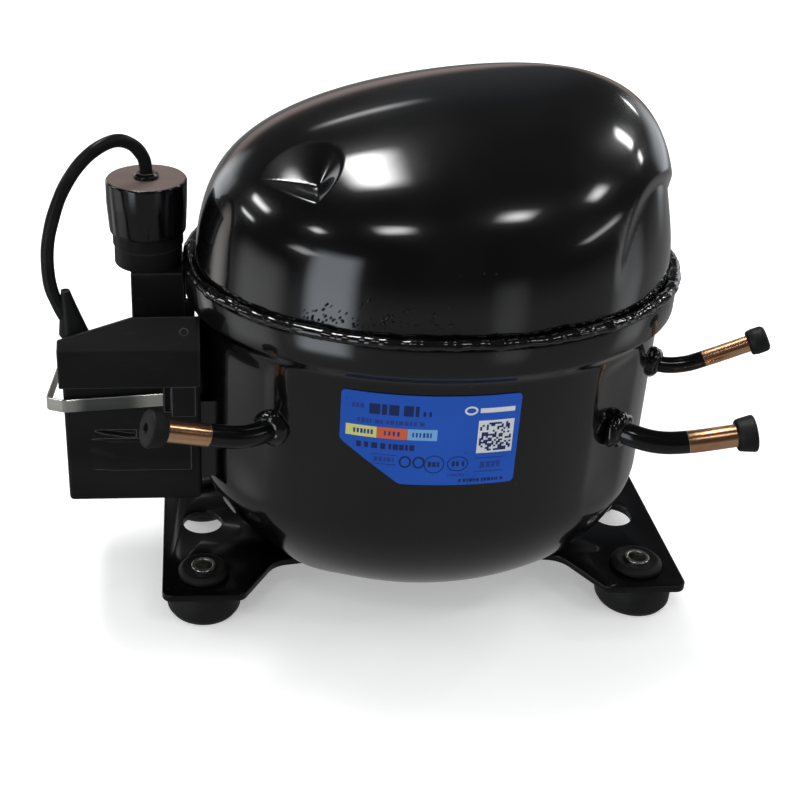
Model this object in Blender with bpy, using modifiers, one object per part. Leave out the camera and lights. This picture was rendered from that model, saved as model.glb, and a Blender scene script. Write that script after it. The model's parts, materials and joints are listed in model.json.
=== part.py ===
"""Hermetic reciprocating compressor: welded shell on a rubber-footed base, terminal box with
run capacitor, three copper stubs, and inside it a sprung motor and slide-tube pump.

Metres, +Z up. X is the long axis (terminal box at -X), -Y is the side with the rating label.
The dimensions are laid out from the crankshaft's axis, which is the middle of the four feet.
The finished assembly is then moved, so that its origin is at the bottom middle of its box.
"""
import math

import bmesh
import bpy
from mathutils import Matrix, Vector

MM = 0.001
GAP = 0.3 * MM                     # clearance between pieces that touch
FLOOR = 5 * MM                     # underside of the feet, in the layout's heights
BOX_MIDDLE = (-11.101 * MM, -0.182 * MM, FLOOR)     # its bottom, from the shaft's axis

# mounting pattern and base plates
MOUNT_X, MOUNT_Y = 170 * MM, 70 * MM
PLATE_TOP, PLATE_THICK = 20.5 * MM, 3 * MM
PLATE_OUTER_X, PLATE_HALF_Y = 101 * MM, 49.5 * MM
PLATE_HOLE_R = 8 * MM
GROMMET_NECK_R, GROMMET_FLANGE_R, GROMMET_FOOT_R = 7.7 * MM, 9.8 * MM, 14.5 * MM
SLEEVE_R, SLEEVE_BORE_R, SLEEVE_TOP = 4.7 * MM, 3.4 * MM, 24.6 * MM

# pressed shells: half length, half width and exponent of the plan outline
BODY_A, BODY_B, PLAN_N = 86 * MM, 71 * MM, 2.05
SHELL_THICK = 3.2 * MM
BOWL_TOP, BOWL_BOTTOM, BOWL_POWER = 62 * MM, 8 * MM, 1.9
STEP_LOW, STEP_HIGH, RIM_FLARE, RIM_TOP = 123 * MM, 126.5 * MM, 4.5 * MM, 137 * MM
SEAM_Z, LID_INSET = 139 * MM, 1.0 * MM
LID_EDGE = 130 * MM
DOME_HEIGHT = 63.5 * MM
APEX_X, APEX_Y = 45 * MM, 22 * MM
ROOF_RIGHT, ROOF_LEFT, ROOF_FRONT, ROOF_BACK = 0.22, 0.39, 0.52, 0.42
WALL_DRAFT, SHOULDER = 0.03, 8.0
PLAN_STEPS, DOME_STEPS, BOWL_STEPS = 34, 10, 6

# pump: crankshaft on the Z axis, cylinder along +X
CRANK_E = 10 * MM                  # crank throw, half of the 20 mm stroke
BORE_R, PISTON_R = 13.8 * MM, 13.5 * MM
PUMP_Z = 142 * MM                  # height of the cylinder axis
CROWN_REACH = 41.2 * MM            # slide tube axis to piston crown
TUBE_R, TUBE_IN_R, TUBE_HALF = 14 * MM, 11.3 * MM, 23 * MM
SLIDER_R, SLIDER_HALF = 11 * MM, 10 * MM
PIN_R, SHAFT_R, PIN_TOP = 6.5 * MM, 8 * MM, PUMP_Z + 8.6 * MM
BLOCK_LOW, BLOCK_HIGH, WEB_HIGH = 112 * MM, 120 * MM, 126.5 * MM
TOWER_NEAR, TOWER_FACE = 24.8 * MM, 52.4 * MM
VALVE_NEAR, VALVE_FAR = 53.3 * MM, 56.3 * MM
HEAD_NEAR, HEAD_FAR = 56.6 * MM, 71 * MM
HEAD_HALF_Y, HEAD_LOW, HEAD_HIGH = 25 * MM, PUMP_Z - 22.5 * MM, PUMP_Z + 22.5 * MM
SCREW_Y, SCREW_Z, SCREW_R, SCREW_HOLE_R = 19.5 * MM, 16.5 * MM, 2.5 * MM, 2.8 * MM
SUCTION_PORT, DISCHARGE_PORT = PUMP_Z + 5.5 * MM, PUMP_Z - 6 * MM

# motor
STATOR_LOW, STATOR_HIGH, STATOR_HALF, STATOR_CORNER = 54 * MM, 96 * MM, 51 * MM, 22 * MM
ROTOR_R, STATOR_BORE_R = 28 * MM, 28.6 * MM
SLOT_COUNT, SLOT_IN_R, SLOT_OUT_R, SLOT_HALF = 12, 31.2 * MM, 44.2 * MM, 4.2 * MM
SPRING_X, SPRING_Y, SPRING_R, SPRING_WIRE_R = 38 * MM, 36 * MM, 6.2 * MM, 0.9 * MM
SPRING_LOW, SPRING_TURNS = 37 * MM, 4

# terminal box, capacitor
COVER_OUT_X, COVER_PEAK_X = -136.5 * MM, -110 * MM
COVER_OPEN_X, COVER_SKIRT_X = -88 * MM, -85.2 * MM
COVER_LOW, COVER_EAVE, COVER_PEAK = 52 * MM, 116 * MM, 124 * MM
COVER_HALF_Y, COVER_WALL = 32 * MM, 2.2 * MM
RIDGE_Y, RIDGE_OUT_Y, RIDGE_OUT_Z = -20 * MM, -27.65 * MM, 118.9 * MM
BACK_EAVE, BACK_EAVE_OUT = 94 * MM, 85 * MM     # the roof falls away behind its ridge
TERMINAL_Z, TERMINAL_R = 86 * MM, 16 * MM
PROTECTOR_PLACE = (-93 * MM, 17.4 * MM, 83.5 * MM)
CAP_X, CAP_Y, CAP_R, CAP_LOW, CAP_HIGH = -104 * MM, 10 * MM, 13.2 * MM, 133 * MM, 163.6 * MM
BOOT_R, BOOT_LOW, BOOT_HIGH = 15 * MM, 146 * MM, 166 * MM
STRAP_LOW, STRAP_HIGH, STRAP_THICK = 92 * MM, 98 * MM, 0.8 * MM
STRAP_END_X, STRAP_OUT_X, STRAP_LEAN = -99 * MM, -141 * MM, 0.23

# copper stubs: centre line points from inside the wall outwards, outer and inner radius
SUCTION_PATH = [(58, -42, 91.5), (67, -51.5, 90.5), (77, -55, 89), (88, -56.3, 89.7), (103.4, -58, 93)]
PROCESS_PATH = [(-56, -45.5, 95), (-63.5, -54.5, 95.5), (-72, -59.5, 96.5), (-83, -63, 99.5),
                (-97.8, -68, 104.6)]
DISCHARGE_PATH = [(74, -21.5, 107), (84, -27, 105.5), (92, -29, 106.5), (100, -30.5, 110),
                  (112.8, -32.3, 116.2)]
SUCTION_R, SUCTION_BORE_R = 4.1 * MM, 3.3 * MM
DISCHARGE_R, DISCHARGE_BORE_R = 3.0 * MM, 2.2 * MM
PLUG_R, PLUG_LENGTH, SMALL_PLUG_R = 6.8 * MM, 7 * MM, 4.8 * MM

# rating label on the -Y side
LABEL_LEFT, LABEL_RIGHT, LABEL_LOW, LABEL_HIGH = -38 * MM, 22.5 * MM, 83 * MM, 118 * MM
LABEL_THICK = 0.3 * MM

FULL_TURN = 2 * math.pi


# ---------------------------------------------------------------- scene and materials

def clear_scene():
    for obj in list(bpy.data.objects):
        bpy.data.objects.remove(obj, do_unlink=True)


def new_collection(name):
    collection = bpy.data.collections.new(name)
    bpy.context.scene.collection.children.link(collection)
    return collection


def material(name, colour, roughness, metallic):
    mat = bpy.data.materials.new(name)
    mat.use_nodes = True
    shader = mat.node_tree.nodes["Principled BSDF"]
    shader.inputs["Base Color"].default_value = (*colour, 1)
    shader.inputs["Roughness"].default_value = roughness
    shader.inputs["Metallic"].default_value = metallic
    mat.diffuse_color = (*colour, 1)
    return mat


clear_scene()
PARTS = new_collection("hermetic_compressor")
CUTTERS = new_collection("cutters")

ENAMEL = material("black_enamel", (0.012, 0.012, 0.013), 0.12, 0.0)
RUBBER = material("black_rubber", (0.02, 0.02, 0.02), 0.7, 0.0)
ZINC = material("zinc_steel", (0.62, 0.61, 0.56), 0.35, 1.0)
COPPER = material("copper", (0.72, 0.38, 0.2), 0.3, 1.0)
MOULDED = material("black_moulding", (0.02, 0.02, 0.022), 0.4, 0.0)
LABEL_BLUE = material("label_blue", (0.03, 0.12, 0.5), 0.35, 0.0)
CAST_IRON = material("cast_iron", (0.2, 0.2, 0.2), 0.6, 1.0)
STEEL = material("ground_steel", (0.55, 0.55, 0.56), 0.28, 1.0)
LAMINATION = material("lamination_steel", (0.25, 0.25, 0.27), 0.5, 1.0)
WIRE = material("enamelled_wire", (0.55, 0.2, 0.08), 0.35, 1.0)
ALUMINIUM = material("cast_aluminium", (0.7, 0.7, 0.7), 0.45, 1.0)
SPRING_STEEL = material("spring_steel", (0.4, 0.4, 0.42), 0.3, 1.0)
PALE_PLASTIC = material("pale_plastic", (0.75, 0.72, 0.62), 0.5, 0.0)
PHENOLIC = material("phenolic", (0.09, 0.05, 0.03), 0.45, 0.0)
GASKET_FIBRE = material("gasket_fibre", (0.16, 0.17, 0.15), 0.8, 0.0)


# ---------------------------------------------------------------- modelling tools

def add_object(name, mesh, mat=None, collection=None):
    obj = bpy.data.objects.new(name, mesh)
    (collection or PARTS).objects.link(obj)
    if mat:
        mesh.materials.append(mat)
    return obj


def as_cutter(obj):
    for collection in list(obj.users_collection):
        collection.objects.unlink(obj)
    CUTTERS.objects.link(obj)
    obj.hide_render = True
    obj.display_type = 'WIRE'
    return obj


def boolean(obj, other, operation='DIFFERENCE'):
    mod = obj.modifiers.new(operation.lower(), 'BOOLEAN')
    mod.operation = operation
    mod.solver = 'EXACT'
    mod.object = as_cutter(other)


def smooth(mesh, angle=35):
    mesh.shade_smooth()
    mesh.set_sharp_from_angle(angle=math.radians(angle))


def from_bmesh(name, bm, mat, is_round=False):
    mesh = bpy.data.meshes.new(name)
    bm.to_mesh(mesh)
    bm.free()
    if is_round:
        smooth(mesh)
    return add_object(name, mesh, mat)


def box(name, low, high, mat, bevel=0.0):
    bm = bmesh.new()
    bmesh.ops.create_cube(bm, size=1)
    size = [b - a for a, b in zip(low, high)]
    centre = [(a + b) / 2 for a, b in zip(low, high)]
    bmesh.ops.scale(bm, vec=size, verts=bm.verts)
    bmesh.ops.translate(bm, vec=centre, verts=bm.verts)
    obj = from_bmesh(name, bm, mat)
    if bevel:
        add_bevel(obj, bevel)
    return obj


def add_bevel(obj, width, segments=2):
    mod = obj.modifiers.new("bevel", 'BEVEL')
    mod.width = width
    mod.segments = segments
    mod.limit_method = 'ANGLE'


def aligned(start, direction):
    """Matrix that takes local +Z to direction, with its origin at start."""
    turn = Vector(direction).to_track_quat('Z', 'Y').to_matrix().to_4x4()
    return Matrix.Translation(Vector(start)) @ turn


def rod(name, start, end, radius, mat, sides=20):
    """Solid cylinder between two points."""
    start, end = Vector(start), Vector(end)
    length = (end - start).length
    bm = bmesh.new()
    bmesh.ops.create_cone(bm, cap_ends=True, segments=sides, radius1=radius, radius2=radius,
                          depth=length)
    bm.transform(aligned((start + end) / 2, end - start))
    return from_bmesh(name, bm, mat, is_round=True)


def turned(name, profile, mat, sides=24, frame=None):
    """Solid of revolution of a (radius, height) profile.

    An open profile runs from the axis down its outer side to the axis, and a closed one is a
    ring whose outer side is listed top to bottom and inner side bottom to top.
    """
    is_ring = min(r for r, _ in profile) > 0
    bm = bmesh.new()
    verts = [bm.verts.new((r, 0, z)) for r, z in profile]
    ends = verts[1:] + ([verts[0]] if is_ring else [])
    for a, b in zip(verts, ends):
        bm.edges.new((a, b))
    mesh = bpy.data.meshes.new(name)
    bm.to_mesh(mesh)
    bm.free()
    obj = add_object(name, mesh, mat)
    screw = obj.modifiers.new("turn", 'SCREW')
    screw.steps = screw.render_steps = sides
    screw.use_merge_vertices = True
    screw.merge_threshold = 1e-6
    if frame is not None:
        obj.matrix_world = frame
    return obj


def outline_points(corners, arc_steps=4):
    """Closed outline from (x, y, corner radius) corners, each rounded by an arc."""
    points = []
    count = len(corners)
    for i, (x, y, radius) in enumerate(corners):
        here = Vector((x, y))
        if not radius:
            points.append(here)
            continue
        before = (Vector(corners[i - 1][:2]) - here).normalized()
        after = (Vector(corners[(i + 1) % count][:2]) - here).normalized()
        half = before.angle(after) / 2
        reach = radius / math.tan(half)
        centre = here + (before + after).normalized() * radius / math.sin(half)
        first = here + before * reach - centre
        last = here + after * reach - centre
        sweep = first.angle_signed(last)
        for step in range(arc_steps + 1):
            turn = Matrix.Rotation(-sweep * step / arc_steps, 2)
            points.append(centre + turn @ first)
    return points


def circle_points(radius, sides=24, centre=(0, 0)):
    angles = [FULL_TURN * i / sides for i in range(sides)]
    return [Vector((centre[0] + radius * math.cos(a), centre[1] + radius * math.sin(a)))
            for a in angles]


def sheet(name, outline, holes, thickness, mat, frame=None):
    """Flat plate: a filled 2D curve with holes, centred on its plane, made a mesh."""
    curve = bpy.data.curves.new(name, 'CURVE')
    curve.dimensions = '2D'
    curve.fill_mode = 'BOTH'
    curve.extrude = thickness / 2
    for loop in [outline] + holes:
        spline = curve.splines.new('POLY')
        spline.points.add(len(loop) - 1)
        for point, xy in zip(spline.points, loop):
            point.co = (xy[0], xy[1], 0, 1)
        spline.use_cyclic_u = True
    return curve_to_mesh(name, curve, mat, frame)


def curve_to_mesh(name, curve, mat, frame=None):
    guide = bpy.data.objects.new(name + "_curve", curve)
    CUTTERS.objects.link(guide)
    if frame is not None:
        guide.matrix_world = frame
    bpy.context.view_layer.update()
    graph = bpy.context.evaluated_depsgraph_get()
    mesh = bpy.data.meshes.new_from_object(guide.evaluated_get(graph))
    bm = bmesh.new()
    bm.from_mesh(mesh)
    bmesh.ops.remove_doubles(bm, verts=bm.verts, dist=1e-6)
    bmesh.ops.recalc_face_normals(bm, faces=bm.faces)
    bm.to_mesh(mesh)
    bm.free()
    mesh.name = name
    mesh.materials.clear()
    obj = add_object(name, mesh, mat)
    obj.matrix_world = guide.matrix_world.copy()
    bpy.data.objects.remove(guide, do_unlink=True)
    return obj


def wire(name, points, radius, mat, resolution=2):
    """Round bar swept along points, with flat caps."""
    curve = bpy.data.curves.new(name, 'CURVE')
    curve.dimensions = '3D'
    curve.bevel_depth = radius
    curve.bevel_resolution = resolution
    curve.use_fill_caps = True
    spline = curve.splines.new('POLY')
    spline.points.add(len(points) - 1)
    for point, xyz in zip(spline.points, points):
        point.co = (*xyz, 1)
    obj = curve_to_mesh(name, curve, mat)
    smooth(obj.data, 50)
    return obj


def bend(points, steps=3):
    """Smooth centre line through the points, as Catmull-Rom spans."""
    pts = [Vector(p) for p in points]
    pts = [2 * pts[0] - pts[1]] + pts + [2 * pts[-1] - pts[-2]]
    out = []
    for a, b, c, d in zip(pts, pts[1:], pts[2:], pts[3:]):
        for step in range(steps):
            t = step / steps
            out.append(0.5 * (2 * b + (c - a) * t + (2 * a - 5 * b + 4 * c - d) * t ** 2
                              + (3 * b - a - 3 * c + d) * t ** 3))
    return out + [pts[-2]]


def in_mm(points):
    return [Vector(p) * MM for p in points]


def loft(name, rings, mat, apex=None, floor=None):
    """Skin over rings of equal count, with an optional end point at either end."""
    bm = bmesh.new()
    loops = [[bm.verts.new(p) for p in ring] for ring in rings]
    for low, high in zip(loops, loops[1:]):
        for i in range(len(low)):
            j = (i + 1) % len(low)
            bm.faces.new((low[i], low[j], high[j], high[i]))
    for loop, tip in ((loops[0], floor), (loops[-1], apex)):
        if tip is not None:
            point = bm.verts.new(tip)
            for i in range(len(loop)):
                bm.faces.new((loop[i], loop[(i + 1) % len(loop)], point))
    bmesh.ops.recalc_face_normals(bm, faces=bm.faces)
    mesh = bpy.data.meshes.new(name)
    bm.to_mesh(mesh)
    bm.free()
    smooth(mesh, 50)
    return add_object(name, mesh, mat)


def thicken(obj, thickness):
    """Give an open skin its wall, on the inner side."""
    mod = obj.modifiers.new("wall", 'SOLIDIFY')
    mod.thickness = thickness
    mod.offset = -1
    mod.use_even_offset = True


# ---------------------------------------------------------------- shell shapes

def plan_point(angle, grow=0.0, scale=1.0):
    """Point of the shell's plan outline, grown outwards or scaled about the middle."""
    c, s = math.cos(angle), math.sin(angle)
    a, b = BODY_A * scale + grow, BODY_B * scale + grow
    reach = (abs(c / a) ** PLAN_N + abs(s / b) ** PLAN_N) ** (-1 / PLAN_N)
    return reach * c, reach * s


def plan_ring(z, grow=0.0, scale=1.0):
    angles = [FULL_TURN * i / PLAN_STEPS for i in range(PLAN_STEPS)]
    return [(*plan_point(a, grow, scale), z) for a in angles]


def wall_y(x, grow=0.0):
    """Half width of the shell's vertical wall at a place along X."""
    a, b = BODY_A + grow, BODY_B + grow
    return b * (1 - abs(x / a) ** PLAN_N) ** (1 / PLAN_N)


def bowl_rings(inset=0.0):
    """Rings of the bowl's curved bottom, from low to high, offset inwards by inset."""
    depth = BOWL_TOP - BOWL_BOTTOM - inset
    rings = []
    for step in range(1, BOWL_STEPS + 1):
        t = math.pi / 2 * step / BOWL_STEPS
        scale = math.sin(t) ** (2 / BOWL_POWER)
        drop = math.cos(t) ** (2 / BOWL_POWER)
        a = (BODY_A - inset) * scale / BODY_A
        ring = [(x, y * (BODY_B - inset) / BODY_B * BODY_A / (BODY_A - inset), 0)
                for x, y in (plan_point(FULL_TURN * i / PLAN_STEPS, 0, a)
                             for i in range(PLAN_STEPS))]
        rings.append([(x, y, BOWL_TOP - depth * drop) for x, y, _ in ring])
    return rings


def lower_profile(inset=0.0, top=RIM_TOP):
    """All rings of the lower shell's outer skin, offset inwards by inset."""
    levels = [(92 * MM, 0), (STEP_LOW, 0), (STEP_HIGH, RIM_FLARE)]
    rings = bowl_rings(inset)
    rings += [plan_ring(z, grow - inset) for z, grow in levels]
    rings.append(plan_ring(top, RIM_FLARE - inset))
    return rings


def cavity():
    """Closed solid just inside the lower shell, for trimming what stands on its floor."""
    inset = SHELL_THICK + GAP
    rings = bowl_rings(inset) + [plan_ring(100 * MM, -inset)]
    floor = (0, 0, BOWL_BOTTOM + inset)
    return loft("cavity", rings, None, (0, 0, 100 * MM), floor)


def envelope():
    """Closed solid just outside the lower shell, for trimming what is welded to it."""
    rings = bowl_rings(-GAP) + [plan_ring(118 * MM, GAP)]
    return loft("envelope", rings, None, (0, 0, 118 * MM), (0, 0, BOWL_BOTTOM - GAP))


def dome_height(rim_x, rim_y, theta):
    """Reach and height of the lid at one angle of its meridian, both as fractions.

    The meridian is a drafted wall and a parabolic roof, blended at the shoulder.
    """
    dx, dy = rim_x - APEX_X, rim_y - APEX_Y
    cc = dx * dx / (dx * dx + dy * dy)
    drop = ((ROOF_RIGHT if dx > 0 else ROOF_LEFT) * cc
            + (ROOF_BACK if dy > 0 else ROOF_FRONT) * (1 - cc))
    c, s = math.cos(theta), math.sin(theta)
    wall = 1 / (c + WALL_DRAFT * s)
    roof = 2 / (s + math.sqrt(s * s + 4 * drop * c * c))
    reach = (wall ** -SHOULDER + roof ** -SHOULDER) ** (-1 / SHOULDER)
    return reach * c, reach * s


def lid_rings():
    rings = [plan_ring(LID_EDGE, LID_INSET), plan_ring(SEAM_Z, LID_INSET)]
    rim = rings[-1]
    for step in range(1, DOME_STEPS):
        theta = math.pi / 2 * step / DOME_STEPS
        ring = []
        for x, y, _ in rim:
            edge, _ = dome_height(x, y, 0)
            _, peak = dome_height(x, y, math.pi / 2)
            reach, height = dome_height(x, y, theta)
            reach, height = reach / edge, height / peak
            ring.append((APEX_X + (x - APEX_X) * reach, APEX_Y + (y - APEX_Y) * reach,
                         SEAM_Z + DOME_HEIGHT * height))
        rings.append(ring)
    return rings


# ---------------------------------------------------------------- shell

def make_lower_shell():
    shell = loft("lower_shell", lower_profile(), ENAMEL, floor=(0, 0, BOWL_BOTTOM))
    thicken(shell, SHELL_THICK)
    for path, radius in ((SUCTION_PATH, SUCTION_R), (PROCESS_PATH, SUCTION_R),
                         (DISCHARGE_PATH, DISCHARGE_R)):
        start, end = in_mm(path[:2])
        along = (end - start).normalized() * 9 * MM
        boolean(shell, rod("tube_hole", start - along, end + along, radius + 2 * GAP, None, 14))
    left = (-BODY_A - 15 * MM, 0, TERMINAL_Z)
    boolean(shell, rod("terminal_hole", left, (-70 * MM, 0, TERMINAL_Z), TERMINAL_R + GAP, None))


def make_upper_shell():
    lid = loft("upper_shell", lid_rings(), ENAMEL, apex=(APEX_X, APEX_Y, SEAM_Z + DOME_HEIGHT))
    thicken(lid, 3 * MM)


def make_weld_bead():
    """Ring of weld metal in the corner between the lid's wall and the rim's top edge."""
    inner, outer = LID_INSET + GAP, RIM_FLARE + 0.6 * MM
    low, high = RIM_TOP + GAP, SEAM_Z + 2.2 * MM
    section = [(inner, low), (outer, low), (outer, low + 1.6 * MM), (inner + 1.6 * MM, high),
               (inner, high)]
    rings = [plan_ring(z, grow) for grow, z in section]
    loft("shell_weld_bead", rings + rings[:1], ENAMEL)
    bead = PARTS.objects["shell_weld_bead"]
    bm = bmesh.new()
    bm.from_mesh(bead.data)
    bmesh.ops.remove_doubles(bm, verts=bm.verts, dist=1e-6)
    bmesh.ops.recalc_face_normals(bm, faces=bm.faces)
    bm.to_mesh(bead.data)
    bm.free()


def make_rating_label():
    """Thin sheet that follows the front wall, with one corner cut off."""
    columns, out = 9, GAP
    cut_left, cut_x = LABEL_LOW + 16.5 * MM, LABEL_LEFT + 22 * MM
    bm = bmesh.new()
    loops = []
    for i in range(columns + 1):
        x = LABEL_LEFT + (LABEL_RIGHT - LABEL_LEFT) * i / columns
        low = LABEL_LOW
        if x < cut_x:
            low += (cut_left - LABEL_LOW) * (cut_x - x) / (cut_x - LABEL_LEFT)
        y = -wall_y(x, out)
        loops.append([bm.verts.new((x, y, low)), bm.verts.new((x, y, LABEL_HIGH))])
    for a, b in zip(loops, loops[1:]):
        bm.faces.new((a[0], b[0], b[1], a[1]))
    mesh = bpy.data.meshes.new("rating_label")
    bm.to_mesh(mesh)
    bm.free()
    label = add_object("rating_label", mesh, LABEL_BLUE)
    mod = label.modifiers.new("sheet", 'SOLIDIFY')
    mod.thickness = LABEL_THICK
    mod.offset = 1


# ---------------------------------------------------------------- feet

def make_base_plate(name, side):
    """Flat plate under one end of the shell, trimmed to the bowl it is welded to."""
    outer, half = side * PLATE_OUTER_X, PLATE_HALF_Y
    corner, waist = 4 * MM, 10 * MM
    outline = [(outer, -half, corner), (side * 70 * MM, -half, corner),
               (side * 57 * MM, -28 * MM, waist), (side * 20 * MM, -22 * MM, 0),
               (side * 20 * MM, 22 * MM, 0), (side * 57 * MM, 28 * MM, waist),
               (side * 70 * MM, half, corner), (outer, half, corner)]
    holes = [circle_points(PLATE_HOLE_R, 18, (side * MOUNT_X / 2, y))
             for y in (-MOUNT_Y / 2, 0, MOUNT_Y / 2)]
    middle = PLATE_TOP - PLATE_THICK / 2
    plate = sheet(name, outline_points(outline, 3), holes, PLATE_THICK, ENAMEL,
                  Matrix.Translation((0, 0, middle)))
    boolean(plate, envelope())


def foot_places():
    return [(sx * MOUNT_X / 2, sy * MOUNT_Y / 2) for sx in (-1, 1) for sy in (-1, 1)]


def make_feet():
    """Rubber grommet through each plate hole and the steel sleeve in it."""
    under, over = PLATE_TOP - PLATE_THICK - GAP, PLATE_TOP + GAP
    inner, top = SLEEVE_R + GAP, PLATE_TOP + 3.4 * MM
    foot = [(GROMMET_FLANGE_R - 1 * MM, top), (GROMMET_FLANGE_R, top - 1.2 * MM),
            (GROMMET_FLANGE_R, over), (GROMMET_NECK_R, over), (GROMMET_NECK_R, under),
            (GROMMET_FOOT_R, under), (GROMMET_FOOT_R, FLOOR + 2.5 * MM),
            (GROMMET_FOOT_R - 1.5 * MM, FLOOR), (inner, FLOOR), (inner, top)]
    low = FLOOR + 1 * MM
    sleeve = [(SLEEVE_R, SLEEVE_TOP), (SLEEVE_R, low), (SLEEVE_BORE_R, low),
              (SLEEVE_BORE_R, SLEEVE_TOP)]
    for index, (x, y) in enumerate(foot_places(), start=1):
        place = Matrix.Translation((x, y, 0))
        turned(f"grommet_{index}", foot, RUBBER, 16, place)
        turned(f"mount_sleeve_{index}", sleeve, ZINC, 16, place)


# ---------------------------------------------------------------- refrigerant stubs

def make_stub(name, path, radius, bore):
    line = bend(in_mm(path))
    first, last = line[0], line[-1]
    stub = wire(name, line, radius, COPPER, 2)
    before = (first - line[1]).normalized() * 2 * MM
    after = (last - line[-2]).normalized() * 2 * MM
    boolean(stub, wire(name + "_bore", [first + before] + line[1:-1] + [last + after], bore, None, 2))


def make_plug(name, path, bore, radius, length):
    """Rubber transport plug: a flanged head with a blind hole, and a stem in the tube's end."""
    line = bend(in_mm(path))
    tip, along = line[-1], (line[-1] - line[-2]).normalized()
    stem, blind = 8 * MM, 1.6 * MM
    profile = [(0, length - 4 * MM), (blind, length - 4 * MM), (blind, length),
               (radius - 0.8 * MM, length), (radius, length - 1 * MM),
               (radius, GAP + 0.8 * MM), (radius - 0.8 * MM, GAP), (bore - GAP, GAP),
               (bore - GAP, -stem), (0, -stem)]
    turned(name, profile, RUBBER, 16, aligned(tip, along))


# ---------------------------------------------------------------- terminal box

def make_terminal_header():
    """Steel cup set in the shell's end wall, with three pins through it."""
    face = -BODY_A - 2.5 * MM
    inner = face + 8 * MM
    header = rod("terminal_header", (inner, 0, TERMINAL_Z), (face, 0, TERMINAL_Z), TERMINAL_R,
                 STEEL, 28)
    for index, (y, z) in enumerate(pin_places()):
        pin = rod(f"pin_{index}", (inner + 7 * MM, y, z), (face - 14 * MM, y, z), 1.6 * MM, None, 8)
        boolean(header, pin, 'UNION')


def pin_places():
    return [(7 * MM * math.cos(math.radians(a)), TERMINAL_Z + 7 * MM * math.sin(math.radians(a)))
            for a in (90, 210, 330)]


def make_terminal_fence():
    """Open-topped channel welded and painted round the terminals, which holds the cover."""
    low, high, half = TERMINAL_Z - 26 * MM, TERMINAL_Z + 6.5 * MM, 27 * MM
    wall, out = 1.2 * MM, -101 * MM
    fence = box("terminal_fence", (out, -half, low), (-66 * MM, half, high), ENAMEL)
    hollow = box("fence_hollow", (out - 9 * MM, wall - half, low + wall),
                 (-60 * MM, half - wall, high + 20 * MM), None)
    boolean(fence, hollow)
    boolean(fence, envelope())


def make_ptc_starter():
    low, high = (-115 * MM, -22 * MM, 66 * MM), (-92 * MM, 9 * MM, 96.5 * MM)
    starter = box("ptc_starter", low, high, PHENOLIC)
    for index, (y, z) in enumerate(pin_places()):
        start, end = (-90 * MM, y, z), (-105 * MM, y, z)
        boolean(starter, rod(f"socket_{index}", start, end, 1.6 * MM + GAP, None, 10))


def make_overload_protector():
    """Round thermal cut-out beside the starter."""
    radius, soft, depth = 8 * MM, 1 * MM, 16 * MM
    profile = [(0, depth), (radius - soft, depth), (radius, depth - soft), (radius, soft),
               (radius - soft, 0), (0, 0)]
    turned("overload_protector", profile, PHENOLIC, 20, aligned(PROTECTOR_PLACE, (-1, 0, 0)))


def cover_section(x, ridge_y, ridge_z, back_z):
    """Ring of the cover's outer skin at one place along X, from the front foot round."""
    half, fillet = COVER_HALF_Y, 4 * MM
    corners = [(-half, COVER_LOW, fillet), (half, COVER_LOW, fillet), (half, back_z, 0),
               (ridge_y, ridge_z, 0), (-half, COVER_EAVE, 0)]
    return [(x, p[0], p[1]) for p in outline_points(corners, 3)]


def make_terminal_cover():
    """Moulded box with a hipped roof over the electrical parts, open towards the shell."""
    corner = 4 * MM
    out = cover_section(COVER_OUT_X, RIDGE_OUT_Y, RIDGE_OUT_Z, BACK_EAVE_OUT)
    middle_y, middle_z = 0, (COVER_LOW + BACK_EAVE_OUT) / 2
    shrink = [(COVER_OUT_X, middle_y + (y - middle_y) * 0.9, middle_z + (z - middle_z) * 0.9)
              for _, y, z in out]
    sections = [shrink,
                [(COVER_OUT_X + corner / 2, y, z) for _, y, z in out],
                cover_section(COVER_PEAK_X, RIDGE_Y, COVER_PEAK, BACK_EAVE),
                [(x if z > COVER_EAVE - GAP else COVER_SKIRT_X, y, z) for x, y, z in
                 cover_section(COVER_OPEN_X, RIDGE_Y, COVER_PEAK, BACK_EAVE)]]
    cover = loft("terminal_cover", sections, MOULDED, floor=(COVER_OUT_X, middle_y, middle_z))
    smooth(cover.data, 25)
    thicken(cover, COVER_WALL)
    boolean(cover, make_neck(), 'UNION')


def make_neck():
    """Block under the capacitor, whose foot follows the back slope of the cover's roof."""
    front, back, top = -3 * MM, 18 * MM, CAP_LOW - GAP
    fall = (COVER_PEAK - BACK_EAVE) / (COVER_HALF_Y - RIDGE_Y)
    foot = [COVER_PEAK - fall * (y - RIDGE_Y) - 1 * MM for y in (front, back)]
    outline = [(front, foot[0]), (back, foot[1]), (back, top), (front, top)]
    turn = Matrix(((0, 0, 1, -101.25 * MM), (1, 0, 0, 0), (0, 1, 0, 0), (0, 0, 0, 1)))
    return sheet("capacitor_neck", outline, [], 18.5 * MM, None, turn)


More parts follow.
